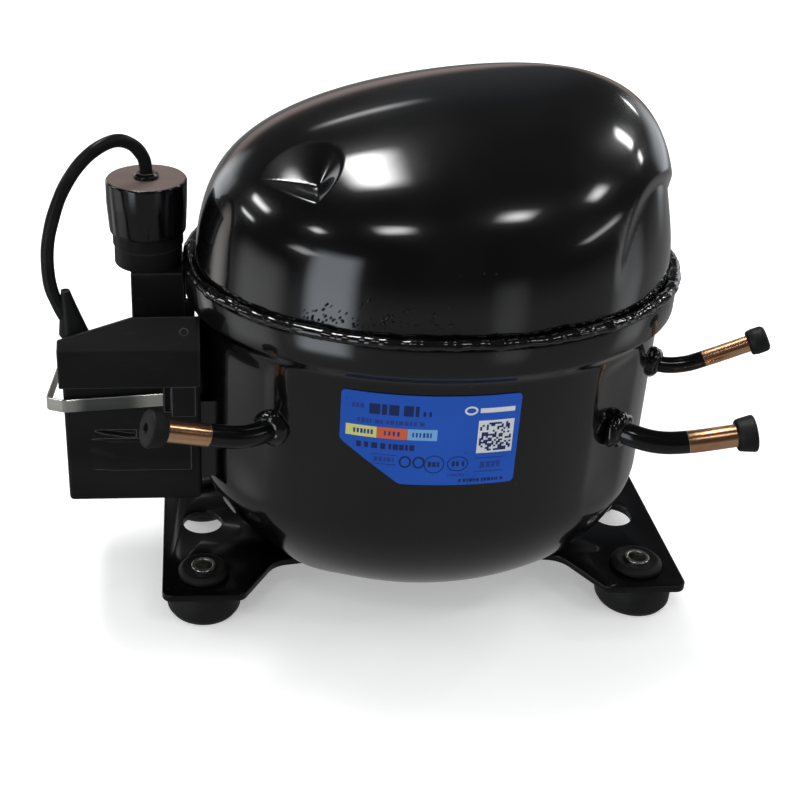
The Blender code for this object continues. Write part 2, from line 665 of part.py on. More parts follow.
def make_capacitor():
    place = Matrix.Translation((CAP_X, CAP_Y, 0))
    can = [(0, CAP_HIGH), (CAP_R - 1 * MM, CAP_HIGH), (CAP_R, CAP_HIGH - 1 * MM), (CAP_R, CAP_LOW),
           (0, CAP_LOW)]
    turned("capacitor_can", can, MOULDED, 28, place)
    inside, roof = CAP_R + GAP, CAP_HIGH + GAP
    collar_r, collar_top, cable_hole = 4.8 * MM, BOOT_HIGH + 2.6 * MM, 1.2 * MM
    boot = [(collar_r, collar_top), (collar_r, BOOT_HIGH), (BOOT_R - 0.8 * MM, BOOT_HIGH),
            (BOOT_R, BOOT_HIGH - 0.8 * MM), (BOOT_R, BOOT_LOW), (inside, BOOT_LOW),
            (inside, roof), (cable_hole, roof), (cable_hole, collar_top)]
    turned("capacitor_boot", boot, MOULDED, 26, place)
    start = BOOT_HIGH + 2.6 * MM + GAP
    path = [(-104, 10, start / MM), (-104.6, 9.6, 174), (-108, 8, 179.2), (-113.8, 5, 181.9),
            (-121.3, 0, 180.7), (-128.4, -4, 175.9), (-134.5, -8, 168.1), (-138.6, -10.5, 158),
            (-140.7, -13, 147.5), (-140.1, -16, 135.2), (-136.5, -18, 127), (-131, -19, 119.4)]
    wire("capacitor_cable", bend(in_mm(path), 2), 2.4 * MM, MOULDED, 2)


def make_cover_strap():
    """Spring strap round the front, outer end and back of the cover, lower at the back."""
    y = COVER_HALF_Y + GAP
    corner, bulge = 1.6 * MM, COVER_OUT_X + 2 * MM
    thick = STRAP_THICK
    outline = [(STRAP_END_X, -y), (bulge, -y), (STRAP_OUT_X, -y + 4 * MM),
               (STRAP_OUT_X, y - 4 * MM), (bulge, y), (STRAP_END_X, y)]
    outer = [(STRAP_END_X, y + thick), (bulge, y + thick), (STRAP_OUT_X - thick, y - 3.6 * MM),
             (STRAP_OUT_X - thick, -y + 3.6 * MM), (bulge, -y - thick), (STRAP_END_X, -y - thick)]
    loop = [(px, py, 0) for px, py in outline + outer]
    for index in (2, 3, 8, 9):
        loop[index] = (*loop[index][:2], corner)
    strap = sheet("cover_strap", outline_points(loop, 2), [], STRAP_HIGH - STRAP_LOW, ZINC,
                  Matrix.Translation((0, 0, (STRAP_LOW + STRAP_HIGH) / 2)))
    for vertex in strap.data.vertices:
        vertex.co.z -= STRAP_LEAN * (vertex.co.y + COVER_HALF_Y)


# ---------------------------------------------------------------- motor

def slot_outline(angle, inner, outer, half, widen):
    """Slot or bar outline: a wedge that is wider at its outer end."""
    across = Matrix.Rotation(angle, 2)
    corners = [(inner, -half), (outer, -half - widen), (outer, half + widen), (inner, half)]
    return [across @ Vector(c) for c in corners]


def slot_angles():
    return [FULL_TURN * i / SLOT_COUNT for i in range(SLOT_COUNT)]


def make_stator_core():
    half, corner = STATOR_HALF, STATOR_CORNER
    square = [(-half, -half, corner), (half, -half, corner), (half, half, corner),
              (-half, half, corner)]
    holes = [circle_points(STATOR_BORE_R, 36)]
    holes += [slot_outline(a, SLOT_IN_R, SLOT_OUT_R, SLOT_HALF, 1.5 * MM) for a in slot_angles()]
    middle = (STATOR_LOW + STATOR_HIGH) / 2
    sheet("stator_core", outline_points(square, 4), holes, STATOR_HIGH - STATOR_LOW, LAMINATION,
          Matrix.Translation((0, 0, middle)))


def make_winding(name, inner, outer, reach):
    """Copper winding: end turns above and below the core, joined by legs through the slots."""
    low, high = STATOR_LOW - GAP, STATOR_HIGH + GAP
    def end_turn(ring_name, bottom, top, mat):
        soft = 1.5 * MM
        return turned(ring_name, [(outer - soft, top), (outer, top - soft), (outer, bottom + soft),
                                  (outer - soft, bottom), (inner + soft, bottom),
                                  (inner, bottom + soft), (inner, top - soft),
                                  (inner + soft, top)], mat, 16)
    winding = end_turn(name, high, high + reach, WIRE)
    bm = bmesh.new()
    for angle in slot_angles():
        for z in (low - 3 * MM, high + 3 * MM):
            corners = slot_outline(angle, inner + 0.6 * MM, outer - 0.6 * MM, 3 * MM, 0.4 * MM)
            [bm.verts.new((*c, z)) for c in corners]
    bm.verts.ensure_lookup_table()
    for leg in range(SLOT_COUNT):
        v = bm.verts[leg * 8:leg * 8 + 8]
        bm.faces.new(v[3::-1])
        bm.faces.new(v[4:])
        for i in range(4):
            j = (i + 1) % 4
            bm.faces.new((v[i], v[j], v[4 + j], v[4 + i]))
    legs = from_bmesh(name + "_legs", bm, None)
    boolean(winding, legs, 'UNION')
    boolean(winding, end_turn(name + "_lower_turn", low - reach, low, None), 'UNION')


def make_rotor():
    """Laminated core with its cast end rings, pressed on the shaft."""
    ring_r, ring = ROTOR_R - 3 * MM, 3 * MM
    low, high = STATOR_LOW, STATOR_HIGH
    hole = SHAFT_R + GAP
    profile = [(ring_r, high + ring), (ring_r, high), (ROTOR_R, high), (ROTOR_R, low),
               (ring_r, low), (ring_r, low - ring), (hole, low - ring), (hole, high + ring)]
    turned("rotor", profile, LAMINATION, 26)


def make_suspension():
    """Four coil springs under the core and the stepped seats that hold them."""
    for index, (sx, sy) in enumerate(((-1, -1), (-1, 1), (1, -1), (1, 1)), start=1):
        x, y = sx * SPRING_X, sy * SPRING_Y
        seat_top, base_r = SPRING_LOW - SPRING_WIRE_R - GAP, 8 * MM
        peg_r, peg_top = SPRING_R - SPRING_WIRE_R - 0.8 * MM, SPRING_LOW + 4 * MM
        seat = [(0, peg_top), (peg_r - 1 * MM, peg_top), (peg_r, peg_top - 1.5 * MM),
                (peg_r, seat_top), (base_r, seat_top), (base_r, 12 * MM), (0, 12 * MM)]
        base = turned(f"spring_seat_{index}", seat, STEEL, 16, Matrix.Translation((x, y, 0)))
        boolean(base, cavity(), 'INTERSECT')
        per_turn = 6
        count = SPRING_TURNS * per_turn
        low, high = SPRING_LOW, STATOR_LOW - SPRING_WIRE_R - GAP
        coil = []
        for i in range(count + 1):
            angle = FULL_TURN * i / per_turn
            coil.append((x + SPRING_R * math.cos(angle), y + SPRING_R * math.sin(angle),
                         low + (high - low) * i / count))
        wire(f"suspension_spring_{index}", coil, SPRING_WIRE_R, SPRING_STEEL, 1)


# ---------------------------------------------------------------- pump

def make_crankcase_block():
    """Cast block: plate, main bearing, four legs on the stator and the cylinder tower."""
    half_x, half_y = 47 * MM, 40 * MM
    top = [(-half_x, -half_y, 8 * MM), (TOWER_FACE, -half_y, 8 * MM),
           (TOWER_FACE, half_y, 8 * MM), (-half_x, half_y, 8 * MM)]
    middle = (BLOCK_LOW + BLOCK_HIGH) / 2
    block = sheet("crankcase_block", outline_points(top, 2), [], BLOCK_HIGH - BLOCK_LOW, CAST_IRON,
                  Matrix.Translation((0, 0, middle)))
    hub = rod("hub", (0, 0, STATOR_HIGH + 4.5 * MM), (0, 0, middle), 14 * MM, None, 24)
    boolean(block, hub, 'UNION')
    for sx in (-1, 1):
        for sy in (-1, 1):
            x, y = sx * 38 * MM, sy * 35 * MM
            boolean(block, rod("leg", (x, y, STATOR_HIGH + GAP), (x, y, middle), 4.4 * MM, None, 10),
                    'UNION')
    tower = box("tower", (TOWER_NEAR, -HEAD_HALF_Y, middle), (TOWER_FACE, HEAD_HALF_Y, HEAD_HIGH),
                None)
    boolean(block, tower, 'UNION')
    boolean(block, rod("bore", (TOWER_NEAR - 5 * MM, 0, PUMP_Z), (TOWER_FACE + 5 * MM, 0, PUMP_Z),
                       BORE_R, None, 30))
    boolean(block, rod("bearing", (0, 0, STATOR_LOW), (0, 0, PUMP_Z), SHAFT_R + GAP, None, 24))
    for index, (y, z) in enumerate(head_screw_places()):
        boolean(block, rod(f"tap_{index}", (TOWER_FACE - 12 * MM, y, z), (TOWER_FACE + 5 * MM, y, z),
                           SCREW_HOLE_R, None, 10))


def head_screw_places():
    return [(sy * SCREW_Y, PUMP_Z + sz * SCREW_Z) for sy in (-1, 1) for sz in (-1, 1)]


def make_crankshaft():
    """Shaft, web with its counterweight side, and crankpin with the gallery drilling."""
    web_low, bottom = BLOCK_HIGH + GAP, STATOR_LOW - 5 * MM
    shaft = rod("crankshaft", (0, 0, bottom), (0, 0, web_low + 1 * MM), SHAFT_R, STEEL, 28)
    web = sheet("web", outline_points([(-17 * MM, -13 * MM, 6 * MM), (17 * MM, -9 * MM, 6 * MM),
                                       (17 * MM, 9 * MM, 6 * MM), (-17 * MM, 13 * MM, 6 * MM)]),
                [], WEB_HIGH - web_low, None, Matrix.Translation((0, 0, (web_low + WEB_HIGH) / 2)))
    boolean(shaft, web, 'UNION')
    boolean(shaft, rod("pin", (CRANK_E, 0, WEB_HIGH - 1 * MM), (CRANK_E, 0, PIN_TOP), PIN_R, None,
                       28), 'UNION')
    boolean(shaft, rod("drilling", (CRANK_E / 2, 0, PIN_TOP - 3 * MM),
                       (CRANK_E / 2, 0, PIN_TOP + 3 * MM), 1.2 * MM, None, 16))
    boolean(shaft, rod("oil_hole", (0, 0, bottom - 5 * MM), (0, 0, bottom + 20 * MM), 4.5 * MM,
                       None, 14))
    plug_r, plug_low = 1 * MM, PIN_TOP - 2.7 * MM
    profile = [(0, PIN_TOP), (plug_r, PIN_TOP), (plug_r, plug_low), (0, plug_low)]
    turned("oil_gallery_plug", profile, ALUMINIUM, 12, Matrix.Translation((CRANK_E / 2, 0, 0)))


def make_oil_pickup():
    """Tapered steel tube pressed in the shaft's lower end, which dips in the oil."""
    outer, inner, wall = 4.5 * MM - GAP, 3.3 * MM, 0.9 * MM
    top, taper, tip = STATOR_LOW + 10 * MM, 42 * MM, 17.5 * MM
    profile = [(outer, top), (outer, taper), (2.2 * MM, tip), (2.2 * MM - wall, tip),
               (inner, taper), (inner, top)]
    turned("oil_pickup", profile, STEEL, 14)


def make_slide_tube():
    """Cross tube in which the slider runs, slotted below for the crankpin."""
    start, end = (CRANK_E, -TUBE_HALF, PUMP_Z), (CRANK_E, TUBE_HALF, PUMP_Z)
    tube = rod("slide_tube", start, end, TUBE_R, STEEL, 28)
    past = 3 * MM
    boolean(tube, rod("tube_bore", (CRANK_E, -TUBE_HALF - past, PUMP_Z),
                      (CRANK_E, TUBE_HALF + past, PUMP_Z), TUBE_IN_R, None, 28))
    half_x, half_y = PIN_R + 0.6 * MM, CRANK_E + PIN_R + 0.8 * MM
    low = PUMP_Z - TUBE_R - 2 * MM
    boolean(tube, box("pin_slot", (CRANK_E - half_x, -half_y, low),
                      (CRANK_E + half_x, half_y, PUMP_Z - 4 * MM), None))
    slider = rod("slider_block", (CRANK_E, -SLIDER_HALF, PUMP_Z), (CRANK_E, SLIDER_HALF, PUMP_Z),
                 SLIDER_R, CAST_IRON, 28)
    boolean(slider, rod("slider_hole", (CRANK_E, 0, PUMP_Z - 15 * MM),
                        (CRANK_E, 0, PUMP_Z + 15 * MM), PIN_R + GAP, None, 28))


def make_piston():
    """Piston with its saddle on the slide tube and a relief in the crown for the reed."""
    saddle, crown = CRANK_E + 7 * MM, CRANK_E + CROWN_REACH
    piston = rod("piston", (saddle, 0, PUMP_Z), (crown, 0, PUMP_Z), PISTON_R, STEEL, 30)
    boolean(piston, rod("saddle", (CRANK_E, -20 * MM, PUMP_Z), (CRANK_E, 20 * MM, PUMP_Z),
                        TUBE_R + GAP, None, 28))


def make_valve_plate():
    plate = box("valve_plate", (VALVE_NEAR, -HEAD_HALF_Y, HEAD_LOW),
                (VALVE_FAR, HEAD_HALF_Y, HEAD_HIGH), STEEL)
    holes = [(4 * MM, SUCTION_PORT, 3 * MM), (4 * MM, DISCHARGE_PORT, 2.4 * MM)]
    holes += [(y, z, SCREW_HOLE_R) for y, z in head_screw_places()]
    near, far = VALVE_NEAR - 3 * MM, VALVE_FAR + 3 * MM
    for y, z, radius in holes:
        boolean(plate, rod("plate_hole", (near, y, z), (far, y, z), radius, None, 12))


def facing_x(x, z):
    """Frame of a plate that stands across the X axis: its own X along Y, its own Y along Z."""
    return Matrix(((0, 0, 1, x), (1, 0, 0, 0), (0, 1, 0, z), (0, 0, 0, 1)))


def make_head_gasket():
    half_z = HEAD_HIGH - PUMP_Z
    outline = [Vector((sy * HEAD_HALF_Y, sz * half_z))
               for sy, sz in ((-1, -1), (1, -1), (1, 1), (-1, 1))]
    holes = [circle_points(BORE_R + 0.6 * MM, 26)]
    holes += [circle_points(SCREW_HOLE_R, 10, (y, z - PUMP_Z)) for y, z in head_screw_places()]
    middle = (TOWER_FACE + VALVE_NEAR) / 2
    sheet("head_gasket", outline, holes, 0.3 * MM, GASKET_FIBRE, facing_x(middle, PUMP_Z))


def make_reeds():
    """Spring-steel leaves over the two ports, each hinged at its -Y end."""
    thick = 0.3 * MM
    def leaf(name, x, z, root, tip, half):
        points = [Vector((root, -half)), Vector((tip - half, -half))]
        points += [Vector((tip - half + half * math.sin(a), -half * math.cos(a)))
                   for a in (math.radians(d) for d in (30, 60, 90, 120, 150))]
        points += [Vector((tip - half, half)), Vector((root, half))]
        sheet(name, points, [], thick, SPRING_STEEL, facing_x(x, z))
    leaf("suction_reed", VALVE_NEAR - GAP - thick / 2, SUCTION_PORT, -9 * MM, 8 * MM, 3.8 * MM)
    leaf("discharge_reed", VALVE_FAR + GAP + thick / 2, DISCHARGE_PORT, -12 * MM, 8 * MM, 3.6 * MM)


def make_cylinder_head():
    """Cast cover over the valve plate with a suction and a discharge chamber."""
    head = box("cylinder_head", (HEAD_NEAR, -HEAD_HALF_Y, HEAD_LOW),
               (HEAD_FAR, HEAD_HALF_Y, HEAD_HIGH), ALUMINIUM, 2.5 * MM)
    inside, deep, near = 14.5 * MM, HEAD_FAR - 4 * MM, HEAD_NEAR - 2 * MM
    rib, rim = 1.2 * MM, 5 * MM
    boolean(head, box("suction_chamber", (near, -inside, PUMP_Z + rib),
                      (deep, inside, HEAD_HIGH - rim), None))
    boolean(head, box("discharge_chamber", (near, -inside, HEAD_LOW + rim),
                      (deep, inside, PUMP_Z - rib), None))
    for y, z in head_screw_places():
        boolean(head, rod("screw_hole", (near, y, z), (HEAD_FAR + 2 * MM, y, z), SCREW_HOLE_R,
                          None, 10))


def make_head_screws():
    for index, (y, z) in enumerate(head_screw_places(), start=1):
        head, tall, length = 4 * MM, 3.2 * MM, HEAD_FAR - TOWER_FACE + 9 * MM
        profile = [(0, tall), (head, tall), (head, 0), (SCREW_R, 0), (SCREW_R, -length),
                   (0, -length)]
        turned(f"head_screw_{index}", profile, STEEL, 12,
               aligned((HEAD_FAR + GAP, y, z), (1, 0, 0)))


def make_suction_muffler():
    """Moulded chamber in front of the block that quiets the intake, with its neck."""
    low, high, middle_y = BLOCK_HIGH + 1 * MM, BLOCK_HIGH + 34 * MM, -50 * MM
    muffler = box("suction_muffler", (-28 * MM, -59 * MM, low), (14 * MM, -40.8 * MM, high),
                  PALE_PLASTIC, 4 * MM)
    boolean(muffler, rod("intake", (-35 * MM, middle_y, PUMP_Z), (5 * MM, middle_y, PUMP_Z),
                         4 * MM, None, 14))


def make_discharge_muffler():
    """Pressed steel cup on the block's plate, behind the cylinder."""
    centre = Vector((34 * MM, 39 * MM, 0))
    low = BLOCK_HIGH + GAP
    profile = [(0, low + 35 * MM), (8 * MM, low + 34 * MM), (12 * MM, low + 29 * MM),
               (12.5 * MM, low), (11 * MM, low), (10.5 * MM, low + 28 * MM),
               (7 * MM, low + 32.5 * MM), (0, low + 33.5 * MM)]
    turned("discharge_muffler", profile, STEEL, 24, Matrix.Translation(centre))


def make_discharge_loop():
    """Thin tube that carries the gas from the muffler round to the outlet in the wall."""
    path = [(34, 54.5, 127), (4, 60, 127), (-36, 56, 126), (-64, 36, 124), (-74, 2, 122),
            (-66, -32, 119), (-40, -54, 116), (0, -63.5, 114), (38, -56, 112), (58, -40, 110),
            (61.5, -26, 109), (67, -18, 108.2), (72.9, -20.9, 107.2)]
    wire("discharge_loop", bend(in_mm(path), 2), 2.1 * MM, STEEL, 1)


# ---------------------------------------------------------------- joints

def joint_empty(name, place, pieces):
    """Empty on a joint's axis that carries the pieces moving about it."""
    empty = bpy.data.objects.new(name, None)
    PARTS.objects.link(empty)
    empty.empty_display_size = 0.01
    empty.location = place
    bpy.context.view_layer.update()
    for piece in pieces:
        obj = PARTS.objects[piece]
        obj.parent = empty
        obj.matrix_parent_inverse = empty.matrix_world.inverted()
    return empty


def add_joint_empties():
    for name, path in (("suction", SUCTION_PATH), ("process", PROCESS_PATH),
                       ("discharge", DISCHARGE_PATH)):
        joint_empty(f"{name}_plug_axis", bend(in_mm(path))[-1], [f"{name}_plug"])
    joint_empty("cover_axis", (COVER_OPEN_X, 0, TERMINAL_Z),
                ["terminal_cover", "capacitor_can", "capacitor_boot", "capacitor_cable"])
    joint_empty("strap_axis", (STRAP_END_X, 0, (STRAP_LOW + STRAP_HIGH) / 2), ["cover_strap"])
    joint_empty("starter_axis", (-92 * MM, 0, TERMINAL_Z), ["ptc_starter"])
    joint_empty("protector_axis", PROTECTOR_PLACE, ["overload_protector"])
    joint_empty("crank_axis", (0, 0, PUMP_Z), ["crankshaft", "rotor", "oil_pickup"])
    joint_empty("slider_axis", (CRANK_E, 0, PUMP_Z), ["slider_block"])
    joint_empty("gallery_plug_axis", (CRANK_E / 2, 0, PUMP_Z), ["oil_gallery_plug"])
    joint_empty("piston_axis", (CRANK_E, 0, PUMP_Z), ["piston", "slide_tube"])
    joint_empty("suction_reed_axis", (VALVE_NEAR - GAP, -9 * MM, PUMP_Z), ["suction_reed"])
    joint_empty("discharge_reed_axis", (VALVE_FAR + GAP, -12 * MM, PUMP_Z), ["discharge_reed"])


def move_to_origin():
    """Put the bottom middle of the overall box at the origin."""
    shift = Matrix.Translation(-Vector(BOX_MIDDLE))
    for obj in list(PARTS.objects) + list(CUTTERS.objects):
        if obj.parent is None:
            obj.matrix_world = shift @ obj.matrix_world


def build():
    make_lower_shell()
    make_upper_shell()
    make_weld_bead()
    make_rating_label()
    make_base_plate("base_plate_left", -1)
    make_base_plate("base_plate_right", 1)
    make_feet()
    make_stub("suction_tube", SUCTION_PATH, SUCTION_R, SUCTION_BORE_R)
    make_stub("process_tube", PROCESS_PATH, SUCTION_R, SUCTION_BORE_R)
    make_stub("discharge_tube", DISCHARGE_PATH, DISCHARGE_R, DISCHARGE_BORE_R)
    make_plug("suction_plug", SUCTION_PATH, SUCTION_BORE_R, PLUG_R, PLUG_LENGTH)
    make_plug("process_plug", PROCESS_PATH, SUCTION_BORE_R, PLUG_R, PLUG_LENGTH)
    make_plug("discharge_plug", DISCHARGE_PATH, DISCHARGE_BORE_R, SMALL_PLUG_R, PLUG_LENGTH)
    make_terminal_header()
    make_terminal_fence()
    make_ptc_starter()
    make_overload_protector()
    make_terminal_cover()
    make_capacitor()
    make_cover_strap()
    make_stator_core()
    make_winding("main_winding", SLOT_IN_R + 0.6 * MM, 37.2 * MM, 9 * MM)
    make_winding("start_winding", 37.8 * MM, SLOT_OUT_R - 0.6 * MM, 7.5 * MM)
    make_rotor()
    make_suspension()
    make_crankcase_block()
    make_crankshaft()
    make_oil_pickup()
    make_slide_tube()
    make_piston()
    make_valve_plate()
    make_head_gasket()
    make_reeds()
    make_cylinder_head()
    make_head_screws()
    make_suction_muffler()
    make_discharge_muffler()
    make_discharge_loop()
    add_joint_empties()
    bpy.context.view_layer.update()
    move_to_origin()


build()
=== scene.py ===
"""Looks of the hermetic compressor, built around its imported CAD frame.

Metres, +Z up. Most shapes are laid out from the crankshaft's axis, as in the CAD: the axis is
found from the four mounting sleeves, and every new piece is placed there. Pressed and welded
shells, tubes, rubber, mouldings, label, cable and strap are built finely here; what sits inside
keeps its CAD mesh and gets its own material.
"""
import json
import math
import random

import bmesh
import bpy
from mathutils import Matrix, Vector, noise


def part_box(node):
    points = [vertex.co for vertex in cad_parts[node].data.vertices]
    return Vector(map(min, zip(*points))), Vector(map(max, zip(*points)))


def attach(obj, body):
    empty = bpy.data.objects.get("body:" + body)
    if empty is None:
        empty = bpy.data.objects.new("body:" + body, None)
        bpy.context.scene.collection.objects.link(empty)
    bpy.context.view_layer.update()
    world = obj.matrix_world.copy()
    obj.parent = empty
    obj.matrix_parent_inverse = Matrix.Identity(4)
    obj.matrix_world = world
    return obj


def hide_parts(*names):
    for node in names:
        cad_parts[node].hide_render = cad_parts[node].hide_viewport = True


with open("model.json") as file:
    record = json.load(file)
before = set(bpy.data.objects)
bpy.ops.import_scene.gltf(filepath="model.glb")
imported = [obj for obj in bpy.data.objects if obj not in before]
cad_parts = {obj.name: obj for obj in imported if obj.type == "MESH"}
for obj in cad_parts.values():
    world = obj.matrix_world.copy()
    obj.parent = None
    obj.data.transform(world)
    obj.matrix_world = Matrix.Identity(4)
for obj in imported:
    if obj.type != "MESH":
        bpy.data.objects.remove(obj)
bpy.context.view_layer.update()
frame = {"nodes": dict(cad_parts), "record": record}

for leftover in ("Cube", "Light", "Camera"):
    if leftover in bpy.data.objects:
        bpy.data.objects.remove(bpy.data.objects[leftover], do_unlink=True)

MM = 0.001
FULL_TURN = 2 * math.pi


def mm(*lengths):
    """Millimetres as metres."""
    return tuple(length * MM for length in lengths)


def middle(node):
    low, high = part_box(node)
    return (low + high) / 2


SLEEVE_R, SLEEVE_BORE_R, SLEEVE_TOP = mm(4.7, 3.4, 24.6)


def shaft_axis():
    """Middle of the four mounting sleeves, where the crankshaft stands, at height 0."""
    places = [middle(f"mount_sleeve_{index}") for index in range(1, 5)]
    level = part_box("mount_sleeve_1")[1].z - SLEEVE_TOP
    return Vector((sum(p.x for p in places) / 4, sum(p.y for p in places) / 4, level))


SHAFT = shaft_axis()
FLOOR = -SHAFT.z                   # underside of the feet in the layout's heights

# pressed shells, as in the CAD
BODY_A, BODY_B, PLAN_N = 86 * MM, 71 * MM, 2.05
SHELL_THICK, LID_THICK = mm(3.2, 2.6)
BOWL_TOP, BOWL_BOTTOM, BOWL_POWER = 62 * MM, 8 * MM, 1.9
STEP_LOW, STEP_HIGH, RIM_FLARE, RIM_TOP = mm(123, 126.5, 4.5, 137)
SEAM_Z, LID_INSET, LID_EDGE = mm(139, 1.0, 130)
DOME_HEIGHT = 63.5 * MM
APEX_X, APEX_Y = mm(45, 22)
ROOF_RIGHT, ROOF_LEFT, ROOF_FRONT, ROOF_BACK = 0.22, 0.39, 0.52, 0.42
WALL_DRAFT, SHOULDER = 0.03, 8.0

# pressed features of the shells: plan angles in degrees, about the shaft's axis
FLATS = ((-144, 8.5), (-45, 8.0))
FLAT_DEPTH, FLAT_LOW, FLAT_HIGH = mm(1.3, 62, 120)
LOBES = (mm(-46, -38, 20), mm(50, -34, 20))
LOBE_DEPTH, LOBE_SPREAD = mm(2.2, 9)
DIMPLE_CORNERS = (mm(-67, -20.6), mm(-42.4, -17.5), mm(-46, -45))
DIMPLE_RADII = mm(16.5, 15.7, 78.9)
DIMPLE_PIT, DIMPLE_DEPTH, DIMPLE_LIP = mm(-46.5, -34), 5.6 * MM, 0.05
ARCH_ANGLE, ARCH_HALF, ARCH_LOW, ARCH_HIGH, ARCH_DEPTH = -24, 29, 145 * MM, 179 * MM, 2 * MM

# feet
MOUNT_X, MOUNT_Y = mm(170, 70)
PLATE_TOP, PLATE_THICK = mm(20.5, 3)
PLATE_OUTER_X, PLATE_HALF_Y, PLATE_HOLE_R = mm(101, 49.5, 8)
GROMMET_NECK_R, GROMMET_FLANGE_R, GROMMET_FOOT_R = mm(7.7, 9.8, 14.5)

# refrigerant stubs: centre line points in millimetres, from inside the wall outwards
STUBS = {
    "suction": ([(58, -42, 91.5), (67, -51.5, 90.5), (77, -55, 89), (88, -56.3, 89.7),
                 (103.4, -58, 93)], 4.1 * MM, 3.3 * MM),
    "process": ([(-56, -45.5, 95), (-63.5, -54.5, 95.5), (-72, -59.5, 96.5), (-83, -63, 99.5),
                 (-97.8, -68, 104.6)], 4.1 * MM, 3.3 * MM),
    "discharge": ([(74, -21.5, 107), (84, -27, 105.5), (92, -29, 106.5), (100, -30.5, 110),
                   (112.8, -32.3, 116.2)], 3.0 * MM, 2.2 * MM),
}
BARE_LENGTH = {"suction": 16.5 * MM, "process": 16 * MM, "discharge": 16 * MM}

# terminal box
COVER_OUT_X, COVER_PEAK_X, COVER_SKIRT_X = mm(-136.5, -110, -85.2)
COVER_LOW, COVER_EAVE, COVER_PEAK = mm(52, 116, 124)
COVER_HALF_Y, RIDGE_Y, RIDGE_OUT_Y, RIDGE_OUT_Z = mm(32, -20, -27.65, 118.9)
BACK_EAVE, BACK_EAVE_OUT = mm(94, 85)
STRAP_LOW, STRAP_LEAN = 91.8 * MM, 0.23
CAP_X, CAP_Y, CAP_R, CAP_LOW, CAP_HIGH = mm(-104, 10, 13.2, 133, 163.6)
BOOT_R, BOOT_LOW, BOOT_HIGH = mm(15, 146, 166)
CABLE_R = 2.4 * MM
# the capacitor's lead: centre line points in millimetres, from the boot round into the roof
LEAD = [(-104, 10, 163.9), (-104, 10, 168.9), (-105, 9.6, 174), (-108.6, 8, 179),
        (-114.2, 5, 181.6), (-121, 0, 180.2), (-127.4, -4, 175.4), (-133, -8, 167.6),
        (-137, -10.5, 157.6), (-139.2, -13, 147.2), (-138.8, -16, 136), (-136, -18, 128),
        (-131.4, -19, 119.4)]

# rating label on the -Y wall
LABEL_LEFT, LABEL_RIGHT, LABEL_LOW, LABEL_HIGH = mm(-38, 22.5, 83, 118)
LABEL_NEAR, LABEL_FAR = mm(0.1, 0.45)


# ---------------------------------------------------------------- materials

class Graph:
    """Short ways to build and wire shader nodes in one tree."""

    def __init__(self, tree):
        self.tree = tree

    def node(self, kind):
        return self.tree.nodes.new("ShaderNode" + kind)

    def put(self, socket, value):
        """Link an output, or set a value, on a socket."""
        if isinstance(value, bpy.types.NodeSocket):
            self.tree.links.new(value, socket)
        elif isinstance(value, (tuple, list)) and len(value) == 3 and socket.type == 'RGBA':
            socket.default_value = (*value, 1)
        else:
            socket.default_value = value

    def ramp(self, value, low, high, start=0.0, end=1.0, smooth=False):
        """value between low and high, mapped to start..end and clamped."""
        node = self.node("MapRange")
        node.clamp = True
        node.interpolation_type = 'SMOOTHSTEP' if smooth else 'LINEAR'
        self.put(node.inputs["Value"], value)
        for key, number in (("From Min", low), ("From Max", high), ("To Min", start),
                            ("To Max", end)):
            node.inputs[key].default_value = number
        return node.outputs["Result"]

    def wired(self, kind, *values, operation=None, data_type=None, **named):
        """New node with its inputs filled in order or by name; gives its outputs."""
        node = self.node(kind)
        if operation:
            node.operation = operation
        if data_type:
            node.data_type = data_type
        for socket, value in zip(node.inputs, values):
            self.put(socket, value)
        for key, value in named.items():
            self.put(node.inputs[key], value)
        return node.outputs

    def math(self, operation, a, b=0.0):
        return self.wired("Math", a, b, operation=operation)[0]

    def times(self, a, b):
        return self.math('MULTIPLY', a, b)

    def tone(self, noise, start=0.0, end=1.0):
        """The usual span of a noise, mapped to start..end."""
        return self.ramp(noise, 0.3, 0.7, start, end)

    def split(self, vector):
        """The vector's x, y and z."""
        return list(self.wired("SeparateXYZ", vector))

    def mix(self, fac, a, b):
        """Colour between a and b."""
        return self.wired("Mix", data_type='RGBA', Factor=fac, A=a, B=b)["Result"]

    def blend(self, fac, a, b):
        """Number between a and b."""
        return self.wired("Mix", Factor=fac, A=a, B=b)["Result"]


